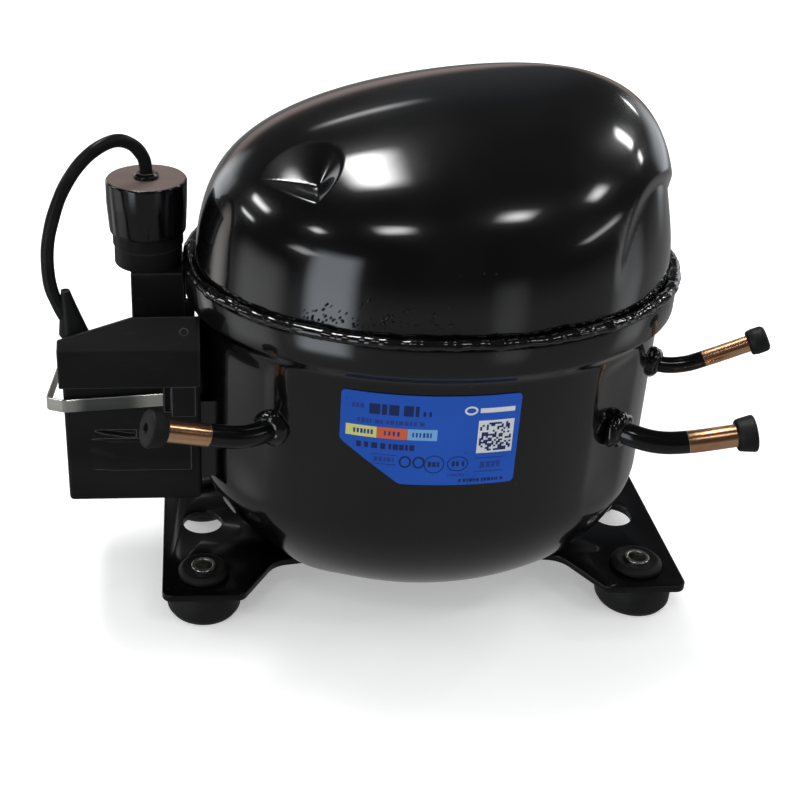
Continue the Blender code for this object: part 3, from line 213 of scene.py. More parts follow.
class Finish(Graph):
    """A material under construction: a Principled shader and ways to wire its inputs."""

    def __init__(self, name, roughness=0.5, metallic=0.0, coat=0.0, coat_roughness=0.05):
        self.name, self.mat = name, bpy.data.materials.new(name)
        self.mat.use_nodes = True
        super().__init__(self.mat.node_tree)
        self.shader = self.tree.nodes["Principled BSDF"]
        self.shader.inputs["Roughness"].default_value = roughness
        self.shader.inputs["Metallic"].default_value = metallic
        self.shader.inputs["Coat Weight"].default_value = coat
        self.shader.inputs["Coat Roughness"].default_value = coat_roughness
        self.place = self.node("TexCoord").outputs["Object"]
        self.normal = None

    def scaled(self, stretch):
        """Texture place with each axis scaled; a small value draws the pattern out along it."""
        return self.wired("Mapping", Vector=self.place, Scale=stretch)["Vector"]

    def dot(self, origin, axis):
        """Distance of the place from an origin along an axis."""
        shift = self.wired("VectorMath", self.place, origin, operation='SUBTRACT')[0]
        return self.wired("VectorMath", shift, axis, operation='DOT_PRODUCT')["Value"]

    def noise(self, scale, detail=3.0, stretch=None, place=None):
        place = place or (self.scaled(stretch) if stretch else self.place)
        return self.wired("TexNoise", Vector=place, Scale=scale, Detail=detail)["Fac"]

    def cells(self, scale):
        return self.wired("TexVoronoi", Vector=self.place, Scale=scale)["Distance"]

    def axis(self, index):
        return self.split(self.place)[index]

    def edges(self, radius):
        """1 within a radius of a sharp edge, 0 on flat faces."""
        soft = self.wired("Bevel", radius)[0]
        facing = self.node("NewGeometry").outputs["Normal"]
        alike = self.wired("VectorMath", soft, facing, operation='DOT_PRODUCT')["Value"]
        return self.ramp(alike, 0.93, 0.995, 1.0, 0.0)

    def bump(self, height, depth):
        """Relief of the given depth in metres; reliefs add up in the order they are called."""
        below = {"Normal": self.normal} if self.normal else {}
        self.normal = self.wired("Bump", Strength=1.0, Distance=depth, Height=height, **below)[0]
        self.put(self.shader.inputs["Normal"], self.normal)

    def set(self, **sockets):
        names = {"colour": "Base Color", "roughness": "Roughness", "metallic": "Metallic",
                 "specular": "Specular IOR Level", "sheen": "Sheen Weight", "coat": "Coat Weight"}
        for key, value in sockets.items():
            self.put(self.shader.inputs[names[key]], value)
        return self


def shade(colour, factor):
    return tuple(min(1.0, c * factor) for c in colour)


def worked(name, colour, roughness, metallic=0.0, tone=0.2, patch=60, grain=900, relief=0.01,
           stretch=None, spread=0.08, coat=0.0):
    """Material with patchy tone and roughness and a fine relief, whose depth is in millimetres."""
    finish = Finish(name, roughness, metallic, coat)
    patchy = finish.noise(patch, 4, stretch)
    fine = finish.noise(grain, 3, stretch)
    finish.set(colour=finish.mix(finish.tone(patchy), shade(colour, 1 - tone),
                                 shade(colour, 1 + tone)),
               roughness=finish.ramp(finish.math('ADD', patchy, fine), 0.7, 1.3,
                                     max(0.02, roughness - spread), roughness + spread))
    finish.bump(fine, relief * MM)
    return finish


# the darkest and palest tone of black paint
PAINT = (0.0015, 0.0015, 0.0018), (0.003, 0.003, 0.0035)


def enamel(name, gloss):
    """Black gloss enamel: orange peel, faint dust, a softer under-layer below a clear film."""
    finish = Finish(name, 0.24, 0.0, coat=gloss, coat_roughness=0.05)
    haze = finish.noise(28, 5)
    dust = finish.ramp(finish.cells(300), 0.05, 0.085, 1.0, 0.0)
    rare = finish.ramp(finish.noise(70, 2), 0.6, 0.66)
    speck = finish.times(dust, rare)
    colour = finish.mix(finish.ramp(haze, 0.35, 0.7), *PAINT)
    finish.set(colour=finish.mix(finish.times(speck, 0.35), colour, (0.12, 0.12, 0.12)),
               roughness=finish.tone(haze, 0.18, 0.26), specular=0.16)
    finish.bump(finish.noise(26, 2), 0.2 * MM)
    finish.bump(finish.noise(420, 3), 0.004 * MM)
    return finish


def rubber():
    finish = worked("black_rubber", (0.005, 0.005, 0.0052), 0.55, tone=0.35, patch=90, grain=1600,
                    relief=0.03, spread=0.12)
    return finish.set(specular=0.3)


def moulding():
    """Black moulded plastic: fine spark texture, flow marks, paler scuffs, and pale edges that are
    partly wear and partly painted edge highlights.
    """
    finish = Finish("black_moulding", 0.38)
    flow = finish.noise(38, 4, (0.35, 1, 1.6))
    scuff = finish.ramp(finish.noise(260, 6, (0.3, 1, 1)), 0.62, 0.72)
    # pale edge mask: partly wear, partly painted edge highlights along the ridges and eaves
    painted_light = finish.edges(0.5 * MM)
    body = finish.mix(finish.tone(flow), (0.005, 0.005, 0.0054), (0.009, 0.009, 0.0096))
    body = finish.mix(finish.times(scuff, 0.12), body, (0.05, 0.05, 0.05))
    # edges mixed towards pale grey: wear and painted edge highlights
    finish.set(colour=finish.mix(finish.times(painted_light, 0.6), body, (0.16, 0.16, 0.17)),
               roughness=finish.tone(flow, 0.28, 0.4), specular=0.12)
    finish.bump(finish.noise(1300, 2), 0.012 * MM)
    finish.bump(flow, 0.05 * MM)
    return finish


def boot(top):
    """Glossy capacitor boot whose flat top above the height top is dull and brownish."""
    finish = Finish("glossy_boot", 0.16)
    height = finish.axis(2)
    facing = finish.node("NewGeometry").outputs["True Normal"]
    flat = finish.ramp(finish.split(facing)[2], 0.8, 0.97)
    dull = finish.times(flat, finish.ramp(height, top - 0.6 * MM, top - 0.3 * MM))
    cloud = finish.noise(120, 4)
    skin = finish.mix(cloud, (0.12, 0.085, 0.075), (0.17, 0.125, 0.11))
    wall = finish.mix(finish.noise(60, 3), *PAINT)
    finish.set(colour=finish.mix(dull, wall, skin),
               roughness=finish.blend(dull, finish.tone(cloud, 0.1, 0.2), 0.42))
    finish.bump(finish.noise(45, 2), 0.25 * MM)
    finish.bump(finish.noise(1500, 2), 0.005 * MM)
    return finish


def stub_copper(name, tip, along, bare):
    """Bright drawn copper near the tube's end, black paint beyond a crisp edge."""
    finish = Finish(name, 0.25)
    side = along.orthogonal().normalized()
    reach = [finish.dot(tip, axis) for axis in (along, side, along.cross(side))]
    drawn = finish.node("CombineXYZ")
    for socket, value, scale in zip(drawn.inputs, reach, (18, 420, 420)):
        finish.put(socket, finish.times(value, scale))
    streak = finish.noise(1, 3, place=drawn.outputs[0])
    stain = finish.noise(130, 4)
    ragged = finish.tone(finish.noise(700, 2), -0.12 * MM, 0.12 * MM)
    copper = finish.ramp(finish.math('ADD', reach[0], ragged), -bare - 0.1 * MM, -bare + 0.1 * MM)
    metal = finish.mix(finish.ramp(streak, 0.35, 0.65), (0.76, 0.40, 0.21), (0.96, 0.62, 0.38))
    metal = finish.mix(finish.times(finish.ramp(stain, 0.55, 0.75), 0.35), metal,
                       (0.36, 0.17, 0.08))
    paint = finish.mix(stain, *PAINT)
    finish.set(colour=finish.mix(copper, paint, metal), metallic=copper,
               roughness=finish.blend(copper, finish.tone(stain, 0.1, 0.18),
                                      finish.tone(streak, 0.18, 0.3)))
    finish.bump(streak, 0.004 * MM)
    finish.bump(finish.noise(90, 2), 0.05 * MM)
    return finish


def strap_zinc():
    """Zinc painted pale at the strap's bends and free ends as painted highlights, and darker along
    its arms as painted shade, where it is also rougher.
    """
    finish = Finish("strap_zinc", 0.3, 1.0)
    x = finish.axis(0)
    # mask of the arms: painted highlights at the bends and free ends, painted shade along the arms
    # between them
    dull = finish.times(finish.ramp(x, -133 * MM, -126 * MM, smooth=True),
                       finish.ramp(x, -103 * MM, -112 * MM, smooth=True))
    drawn = finish.noise(110, 4, (0.12, 0.12, 1))
    bright = finish.mix(finish.tone(drawn), (0.55, 0.55, 0.51), (0.68, 0.68, 0.64))
    # darker colour of the arms: painted shade
    painted_light = finish.mix(finish.tone(drawn), (0.12, 0.13, 0.125), (0.2, 0.21, 0.2))
    finish.set(colour=finish.mix(dull, bright, painted_light),
               roughness=finish.blend(dull, 0.24, finish.tone(drawn, 0.3, 0.42)))
    finish.bump(finish.noise(700, 3, (0.12, 0.12, 1)), 0.01 * MM)
    return finish


def film(name, colour):
    """Printed plastic film of the label."""
    finish = worked(name, colour, 0.32, tone=0.06, patch=45, grain=500, relief=0.004,
                    spread=0.05, coat=0.25)
    return finish.set(specular=0.25)


def layered(name, colour, pitch, relief):
    """Stacked steel sheets, seen as fine lines across the height."""
    finish = worked(name, colour, 0.42, 1.0, tone=0.25, patch=90, grain=800, relief=0.01)
    wave = finish.math('SINE', finish.times(finish.axis(2), FULL_TURN / pitch))
    finish.bump(wave, relief)
    return finish


def wound(name, colour, pitch):
    """Varnished winding wire, as fine ridges that run round and slightly across each other."""
    finish = worked(name, colour, 0.3, 1.0, tone=0.3, patch=120, grain=600, relief=0.02, coat=0.5)
    slant = finish.math('ADD', finish.axis(2),
                        finish.times(finish.noise(50, 2), 6 * MM))
    finish.bump(finish.math('SINE', finish.times(slant, FULL_TURN / pitch)), 0.25 * MM)
    return finish


# the label's film, then the inks printed on it
FILMS = {
    "label_blue": (0.002, 0.062, 0.37), "print_ink": (0.003, 0.012, 0.08),
    "print_faint": (0.006, 0.032, 0.2), "print_white": (0.5, 0.52, 0.56),
    "print_yellow": (0.5, 0.5, 0.16), "print_orange": (0.5, 0.085, 0.03),
    "print_sky": (0.13, 0.3, 0.56),
}
INKS = list(FILMS)[1:]
# metals and plastics inside: colour, roughness, metallic value and the rest of the look
WORKED = {
    "cast_iron": ((0.13, 0.13, 0.135), 0.6, 0.8, dict(grain=1100, relief=0.08)),
    "ground_steel": ((0.52, 0.52, 0.53), 0.26, 1.0,
                     dict(tone=0.1, grain=1500, relief=0.006, stretch=(1, 1, 0.1))),
    "welded_steel": ((0.20, 0.19, 0.18), 0.42, 1.0, dict(tone=0.35, patch=80, relief=0.03)),
    "cast_aluminium": ((0.62, 0.62, 0.63), 0.45, 1.0, dict(grain=1000, relief=0.05)),
    "spring_steel": ((0.33, 0.33, 0.35), 0.28, 1.0, {}),
    "pale_plastic": ((0.62, 0.58, 0.48), 0.45, 0.0, dict(tone=0.08, grain=700, relief=0.02)),
    "phenolic": ((0.05, 0.028, 0.018), 0.4, 0.0, dict(tone=0.3, relief=0.03)),
    "gasket_fibre": ((0.13, 0.14, 0.12), 0.8, 0.0, dict(grain=2200, relief=0.05)),
    "zinc_steel": ((0.60, 0.60, 0.56), 0.3, 1.0,
                   dict(tone=0.14, patch=110, grain=700, stretch=(0.12, 0.12, 1))),
}


def make_materials():
    finishes = [
        enamel("black_enamel", 1.0), enamel("plate_enamel", 0.25), rubber(), moulding(),
        boot(BOOT_HIGH), strap_zinc(),
        layered("lamination_steel", (0.22, 0.22, 0.24), 0.5 * MM, 0.06 * MM),
        wound("enamelled_wire", (0.55, 0.17, 0.06), 0.8 * MM),
    ]
    finishes += [film(name, colour) for name, colour in FILMS.items()]
    finishes += [worked(name, *look[:3], **look[3]) for name, look in WORKED.items()]
    return {finish.name: finish.mat for finish in finishes}


MATS = make_materials()


# ---------------------------------------------------------------- mesh tools

def shown(name, data):
    """New object in the scene for some data: a mesh, a curve, a camera or none."""
    obj = bpy.data.objects.new(name, data)
    bpy.context.scene.collection.objects.link(obj)
    return obj


def add_piece(mesh, slot, nodes=(), body="housing", mats=None, place=None):
    """New piece, named like its mesh, at the shaft's axis, which may stand for CAD nodes."""
    obj = shown(mesh.name, mesh)
    for mat in mats or [MATS[slot]]:
        mesh.materials.append(mat)
    obj.matrix_world = Matrix.Translation(SHAFT) @ (place or Matrix.Identity(4))
    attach(obj, body)
    if nodes:
        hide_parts(*nodes)
    return obj


def turns(count):
    """Angles of evenly spaced points round a full turn."""
    return [FULL_TURN * i / count for i in range(count)]


def smooth(mesh, angle):
    mesh.shade_smooth()
    mesh.set_sharp_from_angle(angle=math.radians(angle))
    return mesh


def from_bmesh(name, bm):
    mesh = bpy.data.meshes.new(name)
    bm.to_mesh(mesh)
    bm.free()
    return mesh


def cleaned(mesh, apart=0.0, shift=0.0):
    """The mesh with points closer than apart merged, faces turned outwards, raised by shift."""
    bm = bmesh.new()
    bm.from_mesh(mesh)
    if apart:
        bmesh.ops.remove_doubles(bm, verts=bm.verts, dist=apart)
    bmesh.ops.recalc_face_normals(bm, faces=bm.faces)
    bmesh.ops.translate(bm, vec=(0, 0, shift), verts=bm.verts)
    bm.to_mesh(mesh)
    bm.free()
    return mesh


def new_mesh(name, points, faces, angle=40):
    mesh = bpy.data.meshes.new(name)
    mesh.from_pydata([tuple(p) for p in points], [], faces)
    return smooth(cleaned(mesh, 1e-7), angle)


def skin(rings, start=None, end=None, caps=False, loop=False):
    """Points and faces over rings of equal count, closed by tips, caps or back on itself."""
    count = len(rings[0])
    points = [p for ring in rings for p in ring]
    faces = []
    pairs = [(i, i + 1) for i in range(len(rings) - 1)]
    if loop:
        pairs.append((len(rings) - 1, 0))
    for a, b in pairs:
        for i in range(count):
            j = (i + 1) % count
            faces.append((a * count + i, a * count + j, b * count + j, b * count + i))
    last = (len(rings) - 1) * count
    for tip, base in ((start, 0), (end, last)):
        if tip is not None:
            points.append(tip)
            apex = len(points) - 1
            faces += [(base + i, base + (i + 1) % count, apex) for i in range(count)]
        elif caps:
            faces.append(tuple(base + i for i in range(count)))
    return points, faces


def rounded(corners, steps=5, is_closed=True):
    """Outline through (x, y, corner radius) corners, each rounded by an arc."""
    points = []
    count = len(corners)
    for i, (x, y, radius) in enumerate(corners):
        here = Vector((x, y))
        if not radius or (not is_closed and i in (0, count - 1)):
            points.append(here)
            continue
        before = (Vector(corners[i - 1][:2]) - here).normalized()
        after = (Vector(corners[(i + 1) % count][:2]) - here).normalized()
        half = before.angle(after) / 2
        reach = radius / math.tan(half)
        centre = here + (before + after).normalized() * radius / math.sin(half)
        first = here + before * reach - centre
        last = here + after * reach - centre
        sweep = first.angle_signed(last)
        for step in range(steps + 1):
            turn = Matrix.Rotation(-sweep * step / steps, 2)
            points.append(centre + turn @ first)
    return points


def lathe(name, profile, sides=64, wobble=0.0, seed=0.0):
    """Solid of revolution of a (radius, height) profile: open from axis to axis, or a ring."""
    is_ring = min(r for r, _ in profile) > 0
    rings = []
    for r, z in profile:
        if r <= 0:
            continue
        ring = []
        for a in turns(sides):
            grow = wobble * noise.noise(Vector((2 * math.cos(a), 2 * math.sin(a), z * 60 + seed)))
            ring.append(((r + grow) * math.cos(a), (r + grow) * math.sin(a), z))
        rings.append(ring)
    if is_ring:
        return new_mesh(name, *skin(rings, loop=True))
    tips = [(0, 0, z) for r, z in profile if r <= 0]
    return new_mesh(name, *skin(rings, start=tips[0], end=tips[-1]))


def aligned(start, direction):
    """Matrix that takes local +Z to direction, with its origin at start."""
    turn = Vector(direction).to_track_quat('Z', 'Y').to_matrix().to_4x4()
    return Matrix.Translation(Vector(start)) @ turn


def bend(points, steps=3):
    """Smooth centre line through the points, as Catmull-Rom spans."""
    pts = [Vector(p) for p in points]
    pts = [2 * pts[0] - pts[1]] + pts + [2 * pts[-1] - pts[-2]]
    out = []
    for a, b, c, d in zip(pts, pts[1:], pts[2:], pts[3:]):
        for step in range(steps):
            t = step / steps
            out.append(0.5 * (2 * b + (c - a) * t + (2 * a - 5 * b + 4 * c - d) * t ** 2
                              + (3 * b - a - 3 * c + d) * t ** 3))
    return out + [pts[-2]]


def in_mm(points):
    return [Vector(p) * MM for p in points]


def tube_rings(line, radius_at, sides=32):
    """Rings square to a centre line, without twist; radius_at takes the point's index."""
    rings = []
    side = None
    for i, here in enumerate(line):
        ahead = line[min(i + 1, len(line) - 1)] - line[max(i - 1, 0)]
        ahead.normalize()
        if side is None:
            side = ahead.orthogonal().normalized()
        side = (side - ahead * side.dot(ahead)).normalized()
        other = ahead.cross(side)
        r = radius_at(i)
        rings.append([here + (side * math.cos(a) + other * math.sin(a)) * r
                      for a in turns(sides)])
    return rings


def bevelled(name, bm, bevel, segments):
    """Mesh of the bmesh with all its edges rounded."""
    if bevel:
        bmesh.ops.bevel(bm, geom=bm.edges, offset=bevel, segments=segments, affect='EDGES',
                        profile=0.5)
    return from_bmesh(name, bm)


def box_mesh(name, low, high, bevel=0.0, segments=3):
    bm = bmesh.new()
    bmesh.ops.create_cube(bm, size=1)
    bmesh.ops.scale(bm, vec=[b - a for a, b in zip(low, high)], verts=bm.verts)
    bmesh.ops.translate(bm, vec=[(a + b) / 2 for a, b in zip(low, high)], verts=bm.verts)
    return bevelled(name, bm, bevel, segments)


def hull_mesh(name, points, bevel=0.0, segments=3):
    """Convex solid round the points, with its edges rounded."""
    bm = bmesh.new()
    for p in points:
        bm.verts.new(p)
    bmesh.ops.convex_hull(bm, input=bm.verts)
    bmesh.ops.dissolve_limit(bm, angle_limit=math.radians(2), verts=bm.verts, edges=bm.edges)
    bmesh.ops.recalc_face_normals(bm, faces=bm.faces)
    return bevelled(name, bm, bevel, segments)


def settled(obj, name):
    """Mesh of an object with its modifiers or curve settings applied; the object goes."""
    bpy.context.view_layer.update()
    graph = bpy.context.evaluated_depsgraph_get()
    mesh = bpy.data.meshes.new_from_object(obj.evaluated_get(graph))
    bpy.data.objects.remove(obj, do_unlink=True)
    mesh.name = name
    mesh.materials.clear()
    return mesh


def combine(name, base, steps, angle=35):
    """Mesh of base after Boolean steps, each an (operation, mesh) pair, in order."""
    body = shown(name + "_work", base)
    tools = []
    for operation, mesh in steps:
        tools.append(shown(name + "_tool", mesh))
        mod = body.modifiers.new("step", 'BOOLEAN')
        mod.operation = operation
        mod.solver = 'EXACT'
        mod.object = tools[-1]
    mesh = settled(body, name)
    for tool in tools:
        bpy.data.objects.remove(tool, do_unlink=True)
    return smooth(mesh, angle)


def plate_mesh(name, outline, holes, low, high, bevel=0.0):
    """Flat plate from a filled outline with holes, its edges rounded."""
    curve = bpy.data.curves.new(name, 'CURVE')
    curve.dimensions = '2D'
    curve.fill_mode = 'BOTH'
    curve.extrude = (high - low) / 2 - bevel
    curve.bevel_depth = bevel
    curve.bevel_resolution = 2
    curve.offset = -bevel
    for loop in [outline] + holes:
        spline = curve.splines.new('POLY')
        spline.points.add(len(loop) - 1)
        for point, xy in zip(spline.points, loop):
            point.co = (xy[0], xy[1], 0, 1)
        spline.use_cyclic_u = True
    return smooth(cleaned(settled(shown(name, curve), name), 1e-6, (low + high) / 2), 35)


def circle(radius, sides=48, centre=(0, 0)):
    return [Vector((centre[0] + radius * math.cos(a), centre[1] + radius * math.sin(a)))
            for a in turns(sides)]


def soft_step(value, low, high):
    t = min(1.0, max(0.0, (value - low) / (high - low)))
    return t * t * (3 - 2 * t)


# ---------------------------------------------------------------- shell shapes

def plan_point(angle, grow=0.0, scale=1.0):
    """Point of the shell's plan outline, grown outwards or scaled about the middle."""
    c, s = math.cos(angle), math.sin(angle)
    a, b = BODY_A * scale + grow, BODY_B * scale + grow
    reach = (abs(c / a) ** PLAN_N + abs(s / b) ** PLAN_N) ** (-1 / PLAN_N)
    return reach * c, reach * s


def wall_y(x, grow=0.0):
    a, b = BODY_A + grow, BODY_B + grow
    return b * (1 - abs(x / a) ** PLAN_N) ** (1 / PLAN_N)


def plan_degrees(x, y):
    return math.degrees(math.atan2(y / BODY_B, x / BODY_A))


def lower_press(point):
    """Lower shell's point after the flats and lobes pressed into it."""
    x, y, z = point
    outward = Vector((x / BODY_A ** 2, y / BODY_B ** 2, 0)).normalized()
    out = Vector(point)
    for centre, half in FLATS:
        off = (plan_degrees(x, y) - centre) / half
        if abs(off) < 1:
            fade = soft_step(z, FLAT_LOW - 12 * MM, FLAT_LOW + 14 * MM)
            fade *= 1 - soft_step(z, FLAT_HIGH - 4 * MM, FLAT_HIGH + 1 * MM)
            out -= outward * FLAT_DEPTH * (1 - off * off) * fade
    for lobe in LOBES:
        near = math.exp(-(Vector(point) - Vector(lobe)).length_squared / (2 * LOBE_SPREAD ** 2))
        if near > 0.01:
            out += (Vector(lobe) - Vector((0, 0, BOWL_TOP))).normalized() * LOBE_DEPTH * near
    return out


def lower_levels(inset, steps):
    """(height, plan scale) of the lower shell's rings, from low to high."""
    depth = BOWL_TOP - BOWL_BOTTOM - inset
    levels = []
    for step in range(1, steps + 1):
        t = math.pi / 2 * step / steps
        levels.append((BOWL_TOP - depth * math.cos(t) ** (2 / BOWL_POWER),
                       math.sin(t) ** (2 / BOWL_POWER)))
    return levels


def lower_rings(inset, angles, steps):
    rings = []
    a, b = BODY_A - inset, BODY_B - inset
    for z, scale in lower_levels(inset, steps):
        ring = []
        for angle in angles:
            x, y = plan_point(angle, 0, scale * a / BODY_A)
            ring.append((x, y * (b / BODY_B) * (BODY_A / a), z))
        rings.append(ring)
    wall = [(0, BOWL_TOP, 0), (0, STEP_LOW, 5 * MM), (RIM_FLARE, STEP_HIGH, 2.2 * MM),
            (RIM_FLARE, RIM_TOP, 0)]
    straight = int(steps * 0.9)
    path = rounded(wall, 6, is_closed=False)
    first = path[1]
    for step in range(1, straight):
        rings.append([(*plan_point(g, -inset), BOWL_TOP + (first.y - BOWL_TOP) * step / straight)
                      for g in angles])
    for grow, z in path[1:-1] + [Vector((RIM_FLARE, RIM_TOP - 0.8 * MM)),
                                 Vector((RIM_FLARE - 0.25 * MM, RIM_TOP - 0.2 * MM)),
                                 Vector((RIM_FLARE - 0.8 * MM, RIM_TOP))]:
        rings.append([(*plan_point(g, grow - inset), z) for g in angles])
    return rings


def make_lower_shell():
    angles = turns(300)
    outer = [[lower_press(p) for p in ring] for ring in lower_rings(0, angles, 34)]
    inner = lower_rings(SHELL_THICK, angles, 12)[::-1]
    mesh = new_mesh("lower_shell_pressing", *skin(outer + inner, start=(0, 0, BOWL_BOTTOM),
                                                  end=(0, 0, BOWL_BOTTOM + SHELL_THICK)), 45)
    add_piece(mesh, "black_enamel", ["lower_shell"])


def dome_height(rim_x, rim_y, theta):
    """Reach and height of the lid at one angle of its meridian: drafted wall into a roof."""
    dx, dy = rim_x - APEX_X, rim_y - APEX_Y
    cc = dx * dx / (dx * dx + dy * dy)
    drop = ((ROOF_RIGHT if dx > 0 else ROOF_LEFT) * cc
            + (ROOF_BACK if dy > 0 else ROOF_FRONT) * (1 - cc))
    c, s = math.cos(theta), math.sin(theta)
    wall = 1 / (c + WALL_DRAFT * s)
    roof = 2 / (s + math.sqrt(s * s + 4 * drop * c * c))
    reach = (wall ** -SHOULDER + roof ** -SHOULDER) ** (-1 / SHOULDER)
    return reach * c, reach * s


def lid_point(angle, theta, inset=0.0):
    x, y = plan_point(angle, LID_INSET - inset)
    edge, _ = dome_height(x, y, 0)
    _, peak = dome_height(x, y, math.pi / 2)
    reach, height = dome_height(x, y, theta)
    return Vector((APEX_X + (x - APEX_X) * reach / edge, APEX_Y + (y - APEX_Y) * reach / edge,
                   SEAM_Z + (DOME_HEIGHT - inset) * height / peak))


def dimple_edges():
    """Centre and radius of the arc along each side of the dimple, as seen from its pit."""
    pit = Vector(DIMPLE_PIT)
    edges = []
    for i, radius in enumerate(DIMPLE_RADII):
        a, b = Vector(DIMPLE_CORNERS[i]), Vector(DIMPLE_CORNERS[(i + 1) % 3])
        half = (b - a).length / 2
        across = Vector((-(b - a).y, (b - a).x)).normalized()
        if across.dot(pit - a) < 0:
            across = -across
        edges.append(((a + b) / 2 + across * math.sqrt(radius ** 2 - half ** 2) - pit, radius))
    return edges


DIMPLE_EDGES = dimple_edges()


def dimple_depth(x, y):
    """Depth of the three-sided dimple: creased faces that fall from its edge to the pit."""
    w = Vector((x, y)) - Vector(DIMPLE_PIT)
    size = w.length_squared
    if size > (34 * MM) ** 2:
        return 0.0
    if size < 1e-12:
        return DIMPLE_DEPTH * (1 - DIMPLE_LIP / 2)
    gauge = 0.0
    for c, radius in DIMPLE_EDGES:
        dot = w.dot(c)
        out = (dot + math.sqrt(dot * dot - size * (c.length_squared - radius ** 2))) / size
        gauge = max(gauge, 1 / out)
    fall = 1 - gauge
    if fall <= 0:
        return 0.0
    eased = fall * fall / (2 * DIMPLE_LIP) if fall < DIMPLE_LIP else fall - DIMPLE_LIP / 2
    return DIMPLE_DEPTH * eased


def arch_depth(x, y, z):
    """Depth of the arched panel pressed in the lid's right end."""
    across = (plan_degrees(x, y) - ARCH_ANGLE) / ARCH_HALF
    up = max(0.0, (z - ARCH_LOW) / (ARCH_HIGH - ARCH_LOW))
    gauge = math.sqrt(across * across + up * up)
    if gauge >= 1:
        return 0.0
    return ARCH_DEPTH * soft_step(1 - gauge, 0, 0.13) * soft_step(up, 0, 0.75)


def lid_surface(angle, theta):
    here = lid_point(angle, theta)
    sink = dimple_depth(here.x, here.y) if here.x < 0 and here.y < 0 else 0.0
    if here.x > 0:
        sink += arch_depth(here.x, here.y, here.z)
    if sink <= 0:
        return here
    along = lid_point(angle + 1e-4, theta) - here
    rise = lid_point(angle, theta + 1e-4) - here
    return here - along.cross(rise).normalized() * sink


def graded(low, high, fine_low, fine_high, coarse, fine):
    """Values from low to high whose spacing is fine between two limits and coarse outside."""
    values = [low]
    while values[-1] < high:
        here = values[-1]
        step = fine if fine_low <= here < fine_high else coarse
        values.append(here + step)
    span = (high - low) / (values[-1] - low)
    return [low + (v - low) * span for v in values]


def make_upper_shell():
    angles = graded(*map(math.radians, (-180, 180, -167, -128, 1.7, 0.26)))[:-1]
    thetas = graded(*map(math.radians, (0, 90, 31, 66, 1.5, 0.5)))[:-1]
    skirt = [LID_EDGE + 0.4 * MM] + [LID_EDGE + (SEAM_Z - LID_EDGE) * k / 4 for k in range(1, 4)]
    outer = [[(*plan_point(a, LID_INSET - 0.4 * MM), LID_EDGE) for a in angles]]
    outer += [[(*plan_point(a, LID_INSET), z) for a in angles] for z in skirt]
    outer += [[lid_surface(a, t) for a in angles] for t in thetas]
    inner = [[lid_point(a, math.pi / 2 * step / 10, LID_THICK) for a in angles]
             for step in range(9, -1, -1)]
    inner.append([(*plan_point(a, LID_INSET - LID_THICK), LID_EDGE) for a in angles])
    sink = dimple_inner(inner)
    top = (APEX_X, APEX_Y, SEAM_Z + DOME_HEIGHT)
    rings = outer[::-1] + sink[::-1]
    mesh = new_mesh("upper_shell_pressing", *skin(rings, start=top,
                                                  end=(top[0], top[1], top[2] - LID_THICK)), 50)
    add_piece(mesh, "black_enamel", ["upper_shell"])


def dimple_inner(rings):
    """Inner skin lowered under the dimple, so that the sheet keeps its thickness there."""
    return [[Vector(p) - Vector((0, 0, 1.2 * dimple_depth(p[0], p[1])
                                 if p[0] < 0 and p[1] < 0 else 0.0)) for p in ring]
            for ring in rings][::-1]


def make_weld_bead():
    """Run of weld metal between the lid and the rim: low uneven swells under thick paint."""
    size, middle_z, out, wander = mm(1.85, 138.5, 3.2, 0.5)
    rings = []
    for a in turns(720):
        spot = Vector((math.cos(a) * 15, math.sin(a) * 12, 0))
        lump = noise.noise(spot) + 0.35 * noise.noise(spot * 3.1)
        swell = size * (1 + 0.26 * lump)
        lift = middle_z + wander * noise.noise(spot * 0.35)
        grow = out + wander * noise.noise(spot * 0.5 + Vector((9, 0, 0)))
        ring = []
        for b in turns(14):
            rough = 1 + 0.09 * noise.noise(Vector((spot.x * 2, spot.y * 2, 3 * math.sin(b))))
            x, y = plan_point(a, grow + swell * rough * math.cos(b) * 1.25)
            ring.append((x, y, lift + swell * rough * math.sin(b)))
        rings.append(ring)
    mesh = new_mesh("weld_bead_run", *skin(rings, loop=True), 60)
    add_piece(mesh, "black_enamel", ["shell_weld_bead"])


def make_weld_spatter():
    """Small beads of weld metal stuck on the lid's wall above the seam, painted over."""
    dice = random.Random(7)
    bm = bmesh.new()
    for _ in range(85):
        a = math.radians(dice.uniform(-131, -92))
        up = abs(dice.gauss(0, 1)) * 3.6 * MM
        x, y = plan_point(a, LID_INSET - up * 0.04)
        size = dice.uniform(0.22, 0.5) * MM
        place = Matrix.Translation((x, y, 141.5 * MM + up))
        made = bmesh.ops.create_icosphere(bm, subdivisions=2, radius=size, matrix=place)
        for v in made["verts"]:
            v.co += Vector((0, 0, 0.3 * size * noise.noise(v.co * 900)))
    mesh = from_bmesh("weld_spatter", bm)
    mesh.shade_smooth()
    add_piece(mesh, "black_enamel")


# ---------------------------------------------------------------- feet

def bowl_solid():
    """Closed solid just outside the lower shell, for cutting what is welded to it."""
    rings = [r for r in lower_rings(-0.05 * MM, turns(120), 24) if r[0][2] < 100 * MM]
    points, faces = skin(rings, start=(0, 0, BOWL_BOTTOM), end=(0, 0, rings[-1][0][2]))
    return new_mesh("bowl_solid", points, faces)


